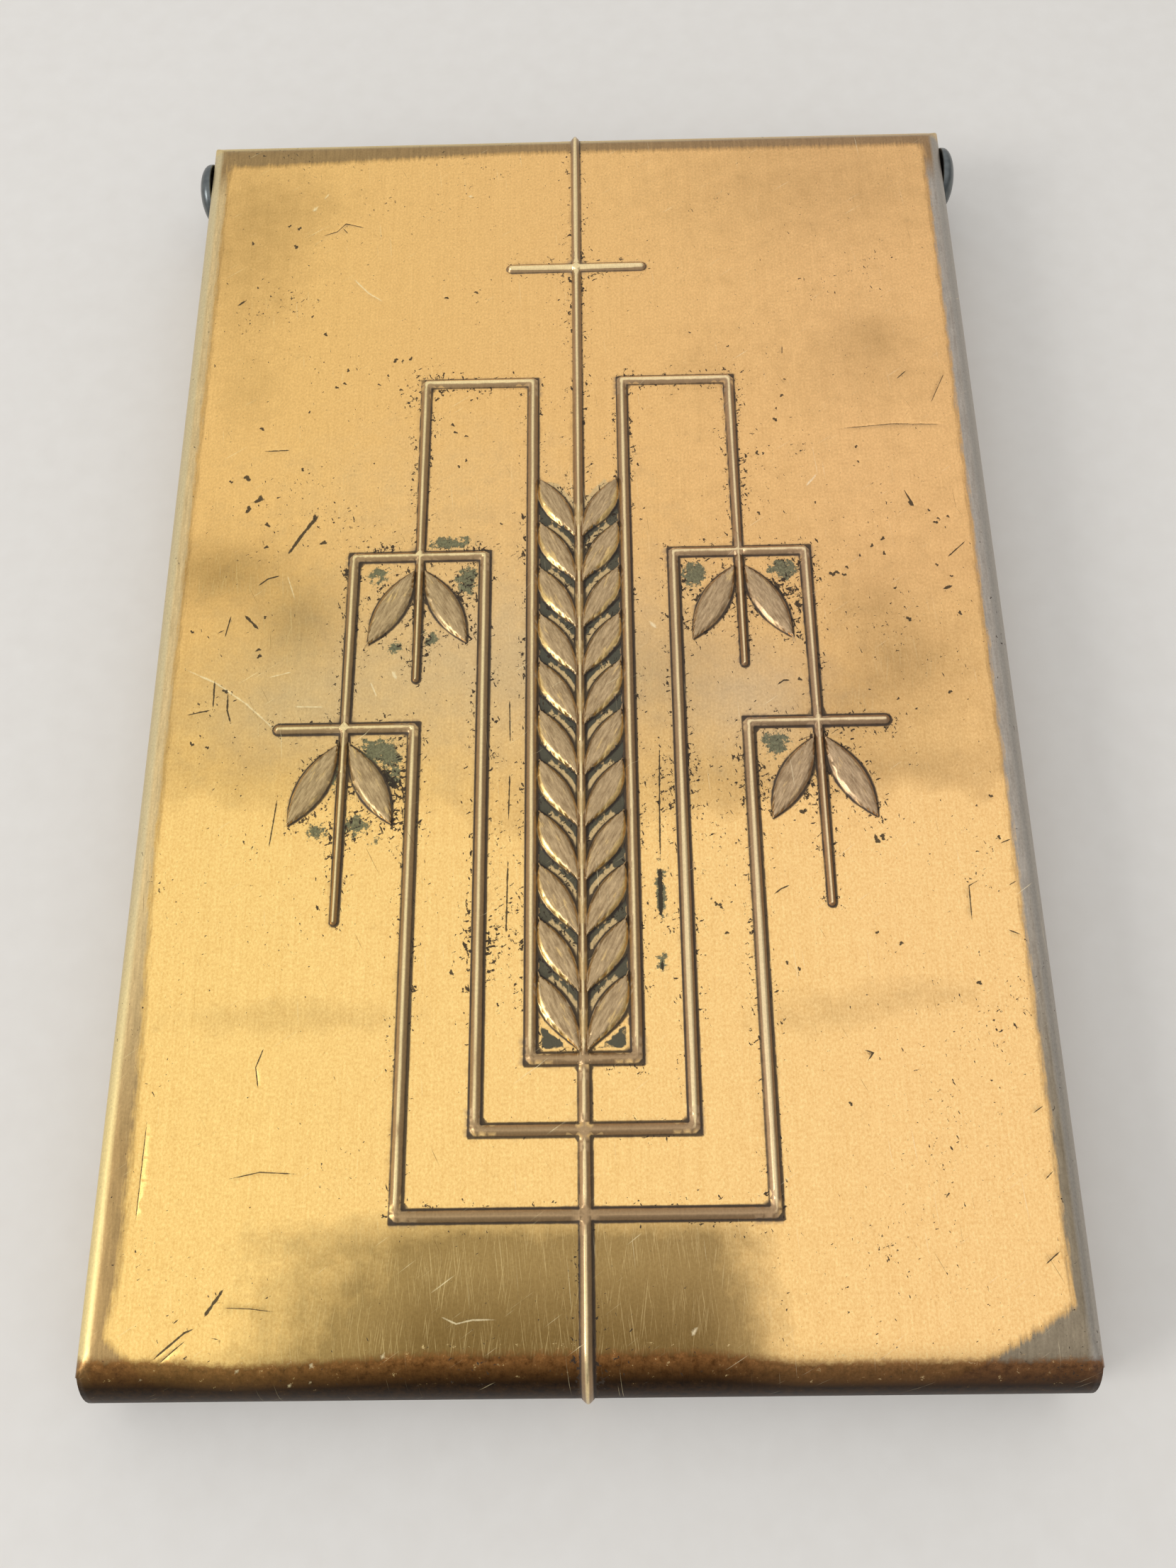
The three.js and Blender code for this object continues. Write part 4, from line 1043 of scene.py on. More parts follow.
def add(tree, kind, inputs=(), output=0, **settings):
    """Adds a node with its settings and its inputs, and gives one of its outputs."""
    made = tree.nodes.new("ShaderNode" + kind)
    for name, value in settings.items():
        setattr(made, name, value)
    connect(tree, made, inputs)
    return made.outputs[output]


def blank_material(name):
    """A new material, its node tree and its shader."""
    made = bpy.data.materials.new(name)
    made.use_nodes = True
    return made, made.node_tree, made.node_tree.nodes["Principled BSDF"]


# What the cover's mesh tells about each of its places
COVER_FACTS = (
    "relief", "crest", "leaf", "leaf_rim_wear_and_highlight", "foot", "corner", "sliver", "border", "ear_ground", "verdigris",
    "dull", "film", "dark_reflection_patch", "lip", "flecked", "scratch", "bright_scratch",
)
# Patterns: what they are laid on, turn in degrees, size across and along in mm, detail, harshness.
# Hairlines and stray scores are finer on the real sheet; they are drawn this coarse so that they show.
COVER_PATTERNS = (
    ("hair", "blank", 0, 0.25, 16.0, 4.0, 0.6),
    ("scuff", "blank", 7, 0.12, 6.0, 3.0, 0.6),
    ("scuff_back", "blank", -8, 0.12, 5.0, 3.0, 0.6),
    ("streak", "blank", 0, 0.9, 9.0, 6.0, 0.6),
    ("comb", "blank", 0, 0.35, 3.0, 6.0, 0.65),
    ("speck", "blank", 0, 0.22, 0.3, 4.0, 0.7),
    ("fleck", "blank", 20, 0.36, 0.9, 4.0, 0.6),
    ("fleck_across", "blank", -65, 0.36, 0.8, 4.0, 0.6),
    ("rag", "blank", 0, 0.9, 0.9, 8.0, 0.75),
    ("grain", "blank", 0, 1.1, 1.6, 8.0, 0.65),
    ("patch", "blank", 0, 2.4, 2.4, 8.0, 0.65),
    ("cloud", "blank", 0, 15.0, 15.0, 5.0, 0.6),
    ("score_up", "blank", 28, 0.18, 7.0, 2.0, 0.5),
    ("score_down", "blank", -55, 0.18, 6.0, 2.0, 0.5),
    ("score_along", "blank", 5, 0.16, 9.0, 2.0, 0.5),
    ("leaf_grain", "leaf_grain", 0, 0.25, 1.6, 5.0, 0.65),
    ("leaf_wear", "leaf_grain", 0, 0.45, 2.6, 3.0, 0.6),
)
# Facts made ragged: the new name, the fact, the pattern that shifts it to and fro, and how far in all
RAGGED_FACTS = (
    ("far", "along", "cloud", 36.0),
    ("dull", "dull", "patch", 0.6),
    ("film", "film", "patch", 0.6),
    ("dark_reflection_patch", "dark_reflection_patch", "patch", 0.8),
    ("border", "border", "comb", 1.5),
    ("dirt_and_shade_smudge", "foot", "patch", 2.4),
    ("corner", "corner", "grain", 0.12),
    ("crest", "crest", "streak", 0.3),
    ("leaf_rim_wear_and_highlight", "leaf_rim_wear_and_highlight", "leaf_wear", 0.5),
    ("sliver", "sliver", "rag", 0.5),
    ("ear", "ear_ground", "rag", 1.1),
    ("green", "verdigris", "rag", 2.6),
    ("lip", "lip", "rag", 2.0),
    ("scratch", "scratch", "rag", 2.4),
    ("bright_scratch", "bright_scratch", "rag", 2.4),
)
# Mottled tones: their pattern, where it begins and is full, and the two colours between which they lie
COVER_TONES = (
    ("leaf", "leaf_grain", 0.35, 0.65, "#957d5c", "#cfb48b"),
    ("verdigris", "speck", 0.35, 0.65, "#434d3b", "#747a5d"),
    # the lip's two tones are a painted reflection of a dark surface below it
    ("lip_reflection_brown", "rag", 0.36, 0.64, "#4f2c0d", "#98683a"),
    ("lip_reflection_black", "rag", 0.36, 0.64, "#140a03", "#38240c"),
    ("flange", "patch", 0.36, 0.62, "#917749", "#b6975c"),
)


def cover_facts(tree):
    """The cover's facts by name, and where each place lies on the blank."""
    fact = {name: add(tree, "Attribute", output="Fac", attribute_name=name) for name in COVER_FACTS}
    place = add(tree, "Attribute", output="Vector", attribute_name="blank")
    fact["across"] = add(tree, "SeparateXYZ", (place,), "X")
    fact["along"] = add(tree, "SeparateXYZ", (place,), "Y")
    return fact


def cover_patterns(tree):
    """The cover's noise patterns by name."""
    noise = {}
    for name, laid_on, turn, wide, long, detail, harsh in COVER_PATTERNS:
        place = add(tree, "Attribute", output="Vector", attribute_name=laid_on)
        turned = {"Vector": place, "Angle": math.radians(turn)}
        turned = add(tree, "VectorRotate", turned, rotation_type="Z_AXIS")
        sized = add(tree, "VectorMath", (turned, (1 / wide, 1 / long, 1)), operation="MULTIPLY")
        pattern = {"Vector": sized, "Scale": 1.0, "Detail": detail, "Roughness": harsh}
        noise[name] = add(tree, "TexNoise", pattern)
    return noise


def ragged_facts(tree, fact, noise):
    """Facts shifted to and fro by a pattern, by name."""
    ragged = {}
    for name, source, pattern, amount in RAGGED_FACTS:
        shift = add(tree, "Math", (noise[pattern], amount, -amount / 2), operation="MULTIPLY_ADD")
        ragged[name] = add(tree, "Math", (fact[source], shift), operation="ADD")
    return ragged


def cover_flecks(tree, fact, noise):
    """Flecks of dirt: they gather beside the relief and in clouds, and hardly lie on the relief."""
    thick = add(tree, "MapRange", (noise["patch"], 0.35, 0.6))
    beside = add(tree, "MapRange", (fact["foot"], 0.0, 1.9, 0.15, 0.0))
    beside = add(tree, "Math", (beside, thick), operation="MULTIPLY")
    cloudy = add(tree, "MapRange", (noise["cloud"], 0.5, 0.72, 0.0, 0.08))
    flecks = add(tree, "Math", (noise["fleck"], noise["fleck_across"]), operation="MAXIMUM")
    for more in (beside, cloudy):
        flecks = add(tree, "Math", (flecks, more), operation="ADD")
    for name, weight in (("flecked", 0.07), ("relief", -0.2)):
        flecks = add(tree, "Math", (fact[name], weight, flecks), operation="MULTIPLY_ADD")
    return flecks


def cover_hairs(tree, fact, noise):
    """Fine light scratches, which show on the painted reflection patch and in the dull clouds."""
    dull = add(tree, "MapRange", (fact["dull"], 0.25, 0.6))
    dark_reflection_patch = add(tree, "MapRange", (fact["dark_reflection_patch"], 0.05, 0.35))
    scuffed = add(tree, "Math", (dull, dark_reflection_patch), operation="MAXIMUM")
    hairs = add(tree, "Math", (noise["scuff"], noise["scuff_back"]), operation="MAXIMUM")
    return add(tree, "Math", (hairs, scuffed), operation="MULTIPLY")


def lip_specks(tree, fact, noise):
    """Bare specks on the lip's painted dark reflection, fewer of them low on it."""
    specks = add(tree, "MapRange", (fact["lip"], 0.6, 1.6))
    lower = add(tree, "MapRange", (fact["lip"], 4.0, 8.0, 1.0, 0.88))
    for factor in (noise["rag"], lower):
        specks = add(tree, "Math", (factor, specks), operation="MULTIPLY")
    return specks


def border_wear_and_reflection_tones(tree, fact, noise, rightward):
    """Colours of the worn border and its bend: cream on the left with a painted highlight on the bend,
    browner near the lip where hands hold the case, grey on the right as a painted reflection of a dimmer
    side, and a painted bright line along the far bend."""
    nearer = add(tree, "MapRange", (fact["along"], 95.0, 120.0))
    farther = add(tree, "MapRange", (fact["along"], 9.0, 5.0))
    left = add(tree, "MixRGB", (nearer, "#dcc298", "#a88a62"))
    right = add(tree, "MixRGB", (nearer, "#b3afa2", "#948c76"))
    border = add(tree, "MixRGB", (rightward, left, right))
    border = add(tree, "MixRGB", (farther, border, "#a2865f"))
    grain = add(tree, "MapRange", (noise["comb"], 0.3, 0.7, 0.75, 1.12))
    border = add(tree, "MixRGB", (1.0, border, grain), blend_type="MULTIPLY")
    bend = add(tree, "MixRGB", (nearer, "#d3c3a2", "#f2dca4"))
    bend = add(tree, "MixRGB", (rightward, bend, "#b2aea0"))
    far_bend = add(tree, "MapRange", (fact["along"], 2.0, 1.0))
    return border, add(tree, "MixRGB", (far_bend, bend, "#e6cd96"))


def struck_brass():
    """Die-struck sheet brass under old lacquer: satin gold with lengthwise hairlines, relief browned by
    patina and by a painted dim reflection, crests bright from wear and a painted highlight, dark corners of
    patina and painted shade, a border greyed by wear and a painted reflection, a painted dark reflection on
    the lip and above it, green where damp stayed, flecks and scratches."""
    made, tree, shader = blank_material("die_struck_brass_old_lacquer")
    fact = cover_facts(tree)
    noise = cover_patterns(tree)
    ragged = ragged_facts(tree, fact, noise)
    tones = {}
    for name, pattern, begins, full, dark, light in COVER_TONES:
        mottle = add(tree, "MapRange", (noise[pattern], begins, full))
        tones[name] = add(tree, "MixRGB", (mottle, dark, light))
    flecks = cover_flecks(tree, fact, noise)
    hairs = cover_hairs(tree, fact, noise)
    specks = lip_specks(tree, fact, noise)
    rightward = add(tree, "MapRange", (fact["across"], -30.0, 30.0))
    border, bend = border_wear_and_reflection_tones(tree, fact, noise, rightward)
    deep_scores = add(tree, "Math", (noise["score_up"], noise["score_along"]), operation="MAXIMUM")
    bright_scores = add(tree, "Math", (noise["score_down"], noise["score_along"]), operation="MINIMUM")
    leaf_wear = add(tree, "Math", (noise["leaf_wear"], fact["leaf"]), operation="MULTIPLY")

    tone = add(tree, "Math", (noise["grain"], 0.25, noise["speck"]), operation="MULTIPLY_ADD")
    tone = add(tree, "Math", (noise["hair"], 0.25, tone), operation="MULTIPLY_ADD")
    tone = add(tree, "MapRange", (tone, 0.5, 1.0))
    mottled = add(tree, "MapRange", (tone, 0.0, 1.0, 0.83, 1.13))
    colour = add(tree, "MixRGB", (tone, "#fbc97b", "#ffdc96"))
    rough = add(tree, "MapRange", (noise["hair"], 0.0, 1.0, 0.22, 0.36))
    metal = 1.0
    # Each layer: what is looked at, where it begins and is full, how full, its colour, roughness, metal share
    layers = (
        # the far half is painted duller as a dimmer reflection; the dull layer holds tarnish clouds and the
        # painted dim band
        (ragged["far"], 94.0, 60.0, 0.65, "#eaba7c", 0.3, 1.0),
        (ragged["dull"], 0.1, 1.0, 0.85, "#a68450", 0.36, 0.95),
        (ragged["film"], 0.1, 1.0, 0.42, "#d3c3a5", 0.4, 0.95),
        # the brown patch above the lip: a painted dark reflection, deepest where it meets the lip
        (ragged["dark_reflection_patch"], 0.1, 0.9, 0.9, "#93794a", 0.38, 0.95),
        (fact["dark_reflection_patch"], 1.0, REFLECTION_PATCH_DEEPEST, 0.6, "#634a22", 0.4, 0.95),
        (hairs, 0.58, 0.7, 0.45, "#e2c890", 0.32, 1.0),
        (ragged["border"], 0.6, 0.2, 0.4, "#8a6a40", 0.45, 0.9),
        (ragged["border"], 0.2, -0.2, 0.92, border, 0.5, 0.85),
        # the bend: painted highlight on the left and far bends, painted reflection of a dimmer side on the
        # right
        (fact["border"], -1.2, -1.8, 0.85, bend, 0.42, 0.9),
        (fact["border"], -3.2, -4.0, 0.8, tones["flange"], 0.36, 0.95),
        (ragged["border"], -8.5, -12.5, 0.7, "#4f3b1e", 0.5, 0.9),
        # brown then black down the lip: a painted reflection of a dark surface below it
        (ragged["lip"], 2.0, 2.7, 0.9, tones["lip_reflection_brown"], 0.42, 0.95),
        (ragged["lip"], 3.2, 5.2, 0.96, tones["lip_reflection_black"], 0.5, 1.0),
        (specks, 0.62, 0.64, 0.85, "#d8bf8a", 0.4, 0.95),
        # brown smudges beside the relief: dirt and painted shade
        (ragged["dirt_and_shade_smudge"], 0.3, -0.5, 0.4, "#8d6b45", 0.5, 0.7),
        # browned relief: patina and a painted dimmer reflection
        (fact["relief"], 0.0, 1.0, 0.92, "#a68b6b", 0.36, 0.92),
        (fact["leaf"], 0.5, 1.0, 0.9, tones["leaf"], 0.33, 0.9),
        # gold on the wheat leaves' outer bevel: wear and a painted highlight
        (ragged["leaf_rim_wear_and_highlight"], 0.58, 0.72, 0.7, "#ecca84", 0.26, 1.0),
        (leaf_wear, 0.6, 0.68, 0.75, "#e6c486", 0.3, 0.95),
        # bright crest line on the beads: worn metal and a painted highlight
        (ragged["crest"], 0.8, 0.98, 0.85, "#fbe4b0", 0.22, 1.0),
        (ragged["ear"], 0.4, 0.6, 0.95, "#3d4238", 0.65, 0.15),
        (ragged["sliver"], 0.25, 0.45, 0.9, "#d6ba88", 0.4, 0.9),
        # dark lines at the relief's foot: patina in the creases and painted shade, thicker on the right
        (ragged["corner"], 0.2, 0.08, 0.9, "#2a1e15", 0.6, 0.3),
        (ragged["green"], 0.5, 0.6, 0.9, tones["verdigris"], 0.8, 0.05),
        (flecks, 0.7, 0.72, 0.95, "#2a1c09", 0.7, 0.2),
        (deep_scores, 0.73, 0.80, 0.55, "#6f5228", 0.5, 0.8),
        (bright_scores, 0.29, 0.2, 0.6, "#fff0c4", 0.25, 1.0),
        (ragged["bright_scratch"], 0.2, 0.9, 0.6, "#fff0c8", 0.3, 0.95),
        (ragged["scratch"], 0.2, 0.45, 0.92, "#30250f", 0.6, 0.3),
    )
    for value, begins, full, most, layer_colour, layer_rough, layer_metal in layers:
        share = add(tree, "MapRange", (value, begins, full, 0.0, most))
        colour = add(tree, "MixRGB", (share, colour, layer_colour))
        rough = add(tree, "Mix", {0: share, 2: rough, 3: layer_rough}, data_type="FLOAT")
        metal = add(tree, "Mix", {0: share, 2: metal, 3: layer_metal}, data_type="FLOAT")
    # The colour is a shade yellower on the left
    tint = add(tree, "MixRGB", (rightward, "#ffffef", "#fffaff"))
    for factor in (mottled, tint):
        colour = add(tree, "MixRGB", (1.0, colour, factor), blend_type="MULTIPLY")
    bumps = add(tree, "Math", (noise["hair"], 0.5, noise["grain"]), operation="MULTIPLY_ADD")
    bump = add(tree, "Bump", {"Strength": 0.1, "Distance": 0.05 * MM, "Height": bumps})
    connect(tree, shader, {"Base Color": colour, "Roughness": rough, "Metallic": metal, "Normal": bump})
    return made


BRUSHED_LENGTH = 60  # a brushed line is this many times as long as it is wide


def sheet_brass(name, light, dark, grain_mm, rough_low, rough_high, axis=1):
    """Rolled sheet brass, brushed along an axis: a soft sheen with long fine lines and a few dull spots."""
    made, tree, shader = blank_material(name)
    place = add(tree, "TexCoord", output="Object")
    stretch = [1 / (grain_mm * MM)] * 3
    stretch[axis] /= BRUSHED_LENGTH
    stretched = add(tree, "VectorMath", (place, stretch), operation="MULTIPLY")
    lines = add(tree, "TexNoise", {"Vector": stretched, "Scale": 1.0, "Detail": 5.0})
    clouds = {"Vector": place, "Scale": 1 / (16 * MM), "Detail": 5.0, "Roughness": 0.55}
    clouds = add(tree, "TexNoise", clouds)
    spots = {"Vector": place, "Scale": 1 / (1.3 * MM), "Detail": 4.0, "Roughness": 0.6}
    spots = add(tree, "TexNoise", spots)
    tone = add(tree, "Math", (lines, 0.35, clouds), operation="MULTIPLY_ADD")
    tone = add(tree, "MapRange", (tone, 0.33, 1.05))
    colour = add(tree, "MixRGB", (tone, dark, light))
    spotted = add(tree, "MapRange", (spots, 0.68, 0.76, 0.0, 0.6))
    colour = add(tree, "MixRGB", (spotted, colour, "#6b5130"))
    rough = add(tree, "MapRange", (lines, 0.3, 0.7, rough_high, rough_low))
    bump = add(tree, "Bump", {"Strength": 0.08, "Distance": 0.02 * MM, "Height": lines})
    connect(tree, shader, {"Base Color": colour, "Metallic": 1.0, "Roughness": rough, "Normal": bump})
    return made


def turned_steel():
    """Turned and blued steel: near-black grey, faintly spotted, with a soft-edged gleam."""
    made, tree, shader = blank_material("turned_blued_steel")
    place = add(tree, "TexCoord", output="Object")
    spots = add(tree, "TexNoise", {"Vector": place, "Scale": 1 / (0.8 * MM), "Detail": 6.0})
    colour = add(tree, "MixRGB", (spots, "#43474a", "#7b807f"))
    rough = add(tree, "MapRange", (spots, 0.0, 1.0, 0.22, 0.42))
    bump = add(tree, "Bump", {"Strength": 0.1, "Distance": 0.03 * MM, "Height": spots})
    connect(tree, shader, {"Base Color": colour, "Metallic": 1.0, "Roughness": rough, "Normal": bump})
    return made


def turned_brass():
    """Turned yellow brass: bright, with small browner spots."""
    made, tree, shader = blank_material("turned_yellow_brass")
    place = add(tree, "TexCoord", output="Object")
    spots = {"Vector": place, "Scale": 1 / (0.5 * MM), "Detail": 5.0, "Roughness": 0.6}
    spots = add(tree, "TexNoise", spots)
    tone = add(tree, "MapRange", (spots, 0.3, 0.65))
    colour = add(tree, "MixRGB", (tone, "#d9b06a", "#f2d492"))
    rough = add(tree, "MapRange", (spots, 0.0, 1.0, 0.16, 0.34))
    bump = add(tree, "Bump", {"Strength": 0.1, "Distance": 0.02 * MM, "Height": spots})
    connect(tree, shader, {"Base Color": colour, "Metallic": 1.0, "Roughness": rough, "Normal": bump})
    return made


def ivory_celluloid():
    """Sliced celluloid sheet grained like ivory: creamy and faintly glossy, with fine parallel lines."""
    made, tree, shader = blank_material("grained_ivory_celluloid")
    place = add(tree, "TexCoord", output="Object")
    # Grain lines lie about 0.8 mm apart, wander slowly and run the whole length; scuffs are far finer
    bent = add(tree, "TexNoise", {"Vector": place, "Scale": 1 / (40 * MM), "Detail": 1.0}, "Color")
    bent = add(tree, "VectorMath", (bent, (3 * MM, 0, 0), place), operation="MULTIPLY_ADD")
    stretch = (1 / (0.8 * MM), 1 / (300 * MM), 1 / (0.8 * MM))
    lines = add(tree, "VectorMath", (bent, stretch), operation="MULTIPLY")
    lines = add(tree, "TexNoise", {"Vector": lines, "Scale": 1.0, "Detail": 2.0, "Roughness": 0.4})
    cloud = add(tree, "TexNoise", {"Vector": place, "Scale": 1 / (25 * MM), "Detail": 3.0})
    stretch = (1 / (0.2 * MM), 1 / (6 * MM), 1 / (0.2 * MM))
    scuffs = add(tree, "VectorMath", (place, stretch), operation="MULTIPLY")
    scuffs = add(tree, "TexNoise", {"Vector": scuffs, "Scale": 1.0, "Detail": 2.0})
    tone = add(tree, "Math", (cloud, 0.35, lines), operation="MULTIPLY_ADD")
    tone = add(tree, "MapRange", (tone, 0.45, 0.9))
    colour = add(tree, "MixRGB", (tone, "#e8dab4", "#f5edd6"))
    rough = add(tree, "MapRange", (scuffs, 0.35, 0.7, 0.22, 0.4))
    bump = add(tree, "Bump", {"Strength": 0.06, "Distance": 0.02 * MM, "Height": lines})
    connect(tree, shader, {"Base Color": colour, "Roughness": rough, "IOR": 1.5, "Normal": bump})
    return made


def baize_felt():
    """Pressed wool felt: dull green with a mat of short fibres."""
    made, tree, shader = blank_material("pressed_wool_felt")
    place = add(tree, "TexCoord", output="Object")
    # Fibres are drawn at 0.4 mm so that they show
    fibres = {"Vector": place, "Scale": 1 / (0.4 * MM), "Detail": 6.0, "Distortion": 1.5}
    fibres = add(tree, "TexNoise", fibres)
    colour = add(tree, "MixRGB", (fibres, "#22382a", "#3f5a45"))
    bump = add(tree, "Bump", {"Strength": 0.6, "Distance": 0.2 * MM, "Height": fibres})
    connect(tree, shader, {"Base Color": colour, "Roughness": 0.95, "Sheen Weight": 0.3, "Normal": bump})
    return made


# Turned pieces
RIVET_HEAD_RADIUS = 3.65
RIVET_RIM = 0.4
RIVET_SHANK = 1.5
RIVET_TAIL = 2.3
RIVET_CLEAR = 0.1  # between the cover's flange and the rivet's head
# The peened tail: mm from its end, and how much slimmer than its widest
TAIL_PROFILE = ((0.8, 0.1), (0.7, 0.0), (0.35, 0.15), (0.05, 0.8))
WASHER_CLEAR = 0.1
BURR_CLEAR = 0.05
EDGE_EASE = 0.08
SCREW_EASE = 0.06
SCREW_HEAD = 1.0
SCREW_DOME = 0.45
SCREW_SHANK = 0.9
SLOT_WIDTH = 0.6
SLOT_DEPTH = 0.5
TURN_STEPS = 64
RIVET_STEPS = 12
SCREW_STEPS = 8
WELD_TURNED = 0.005
SHARP_FROM = math.radians(40)
EASED_FROM = math.radians(50)


def on_pivot(side):
    """Places turned points about the pivot line, on one side."""
    return lambda out, across, up: (side * out, PIVOT_Y + across, PIVOT_Z + up)


def turned_piece(name, profile, place, body):
    """A turned piece from its profile, as distances along its axis with radii; place gives its points."""
    vertices, faces = [], []
    for out, radius in profile:
        for step in range(TURN_STEPS):
            angle = 2 * math.pi * step / TURN_STEPS
            vertices.append(place(out, radius * math.cos(angle), radius * math.sin(angle)))
    rings = len(profile)
    for ring in range(rings - 1):
        for step in range(TURN_STEPS):
            after = (step + 1) % TURN_STEPS
            a, b = ring * TURN_STEPS + step, ring * TURN_STEPS + after
            faces.append((a, b, b + TURN_STEPS, a + TURN_STEPS))
    made = mesh_object(name + "_turned", vertices, faces, body, [name])
    work = bmesh.new()
    work.from_mesh(made.data)
    bmesh.ops.remove_doubles(work, verts=work.verts, dist=WELD_TURNED * MM)
    bmesh.ops.recalc_face_normals(work, faces=work.faces)
    work.to_mesh(made.data)
    work.free()
    made.data.set_sharp_from_angle(angle=SHARP_FROM)
    return made


def hinge_rivet(name, side, finish):
    """A domed rivet with a thin rim, its shank and its peened tail."""
    low, high = (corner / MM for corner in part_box(name))
    outer = max(abs(low.x), abs(high.x))
    tail = min(abs(low.x), abs(high.x))
    under_head = HALF_WIDTH + RIVET_CLEAR
    dome = outer - under_head - RIVET_RIM
    profile = []
    for step in range(RIVET_STEPS + 1):
        angle = QUARTER * step / RIVET_STEPS
        out = under_head + RIVET_RIM + dome * math.cos(angle)
        profile.append((out, RIVET_HEAD_RADIUS * math.sin(angle)))
    profile += [
        (under_head + EDGE_EASE, RIVET_HEAD_RADIUS),
        (under_head, RIVET_HEAD_RADIUS - EDGE_EASE),
        (under_head, RIVET_SHANK),
        (tail + TAIL_PROFILE[0][0], RIVET_SHANK),
    ]
    profile += [(tail + along, RIVET_TAIL - slimmer) for along, slimmer in TAIL_PROFILE]
    profile.append((tail, 0.0))
    made = turned_piece(name, profile, on_pivot(side), "base")
    made.data.materials.append(finish)


def hinge_ring(name, side, bore, finish):
    """A flat ring round the rivet, with its edges eased."""
    low, high = (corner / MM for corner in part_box(name))
    near, far = sorted((abs(low.x), abs(high.x)))
    radius = (high.y - low.y) / 2
    profile = [
        (near, bore),
        (near, radius - EDGE_EASE),
        (near + EDGE_EASE, radius),
        (far - EDGE_EASE, radius),
        (far, radius - EDGE_EASE),
        (far, bore),
        (near, bore),
    ]
    made = turned_piece(name, profile, on_pivot(side), "base")
    made.data.materials.append(finish)


def binding_screw(name, finish):
    """A brass screw with a rounded, slotted head over its shank."""
    low, high = (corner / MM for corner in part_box(name))
    middle = (low + high) / 2
    radius = (high.x - low.x) / 2
    under = high.z - SCREW_HEAD
    brow = high.z - SCREW_DOME
    profile = [(low.z, 0.0), (low.z, SCREW_SHANK), (under, SCREW_SHANK), (under, radius - SCREW_EASE)]
    profile += [(under + SCREW_EASE, radius), (brow, radius)]
    for step in range(1, SCREW_STEPS + 1):
        angle = QUARTER * step / SCREW_STEPS
        profile.append((brow + SCREW_DOME * math.sin(angle), radius * math.cos(angle)))
    made = turned_piece(
        name, profile, lambda out, across, up: (middle.x + across, middle.y + up, out), "base"
    )
    cut_slot(made, Vector((middle.x, middle.y, high.z)), radius)
    made.data.set_sharp_from_angle(angle=SHARP_FROM)
    made.data.materials.append(finish)


def cut_slot(screw, top, radius):
    """Cuts the driver's slot across a screw's head."""
    work = bmesh.new()
    size = Matrix.Diagonal((3 * radius, SLOT_WIDTH, 2 * SLOT_DEPTH, 1.0))
    bmesh.ops.create_cube(work, size=MM, matrix=Matrix.Translation(top * MM) @ size)
    blade = bpy.data.meshes.new("slot_cutter")
    work.to_mesh(blade)
    work.free()
    cutter = bpy.data.objects.new("slot_cutter", blade)
    bpy.context.scene.collection.objects.link(cutter)
    slotted = screw.modifiers.new("slot", "BOOLEAN")
    slotted.object = cutter
    slotted.solver = "EXACT"
    shaped = screw.evaluated_get(bpy.context.evaluated_depsgraph_get())
    screw.data = bpy.data.meshes.new_from_object(shaped)
    screw.modifiers.clear()
    bpy.data.objects.remove(cutter)
    bpy.data.meshes.remove(blade)


def finish_node(name, finish, ease):
    """Gives a CAD node its finish, and eases its edges where ease is not zero."""
    node = frame["nodes"][name]
    node.data.materials.clear()
    node.data.materials.append(finish)
    if ease:
        bevel = node.modifiers.new("eased_edges", "BEVEL")
        bevel.width = ease * MM
        bevel.segments = 2
        bevel.limit_method = "ANGLE"
        bevel.angle_limit = EASED_FROM


# Stage: the camera as fitted to the photograph, 1659 x 2212 with a focal length of 1800 of its pixels
IMAGE_HEIGHT = 2212
FOCAL_PIXELS = 1800
SENSOR = 36.0
CAMERA_PLACE = (2.406, -58.370, 131.576)
CAMERA_RIGHT = (0.99977, -0.01096, -0.01828)
CAMERA_DOWN = (-0.01654, -0.93979, -0.34134)
CAMERA_AHEAD = (-0.01343, 0.34157, -0.93976)
FLOOR_HALF = 900.0
FLOOR_GAP = 0.05
LAMP_SIZE = 300.0
LAMP_PLACE = (-700.0, -260.0, 450.0)
LAMP_POWER = 2.4
ROOM_BRIGHTER_TO = (-0.75, 0.66, 0.0)  # low down, the room is brighter to the left and behind
PALE_BACKGROUND = 0.9
ROOM_DIFFUSE = 0.75


def camera():
    """The camera of the photograph."""
    view = bpy.data.cameras.new("photo_view")
    view.sensor_width = SENSOR
    view.lens = SENSOR * FOCAL_PIXELS / IMAGE_HEIGHT
    view.clip_start = 5 * MM
    view.clip_end = 10.0
    made = bpy.data.objects.new("photo_view", view)
    turn = Matrix((CAMERA_RIGHT, [-c for c in CAMERA_DOWN], [-c for c in CAMERA_AHEAD])).transposed()
    made.matrix_world = Matrix.Translation(Vector(CAMERA_PLACE) * MM) @ turn.to_4x4()
    bpy.context.scene.collection.objects.link(made)
    bpy.context.scene.camera = made


def floor():
    """A pale matt floor, a hair under the felt."""
    mesh = bpy.data.meshes.new("pale_floor")
    corners = [(-1, -1), (1, -1), (1, 1), (-1, 1)]
    places = [(FLOOR_HALF * MM * x, FLOOR_HALF * MM * y, -FLOOR_GAP * MM) for x, y in corners]
    mesh.from_pydata(places, [], [(0, 1, 2, 3)])
    made = bpy.data.objects.new("pale_floor", mesh)
    bpy.context.scene.collection.objects.link(made)
    finish, tree, shader = blank_material("matt_painted_board")
    place = add(tree, "TexCoord", output="Object")
    specks = add(tree, "TexNoise", {"Vector": place, "Scale": 1 / (3 * MM), "Detail": 4.0})
    colour = add(tree, "MixRGB", (specks, "#e4e0da", "#ebe8e3"))
    connect(tree, shader, {"Base Color": colour, "Roughness": 0.9})
    mesh.materials.append(finish)


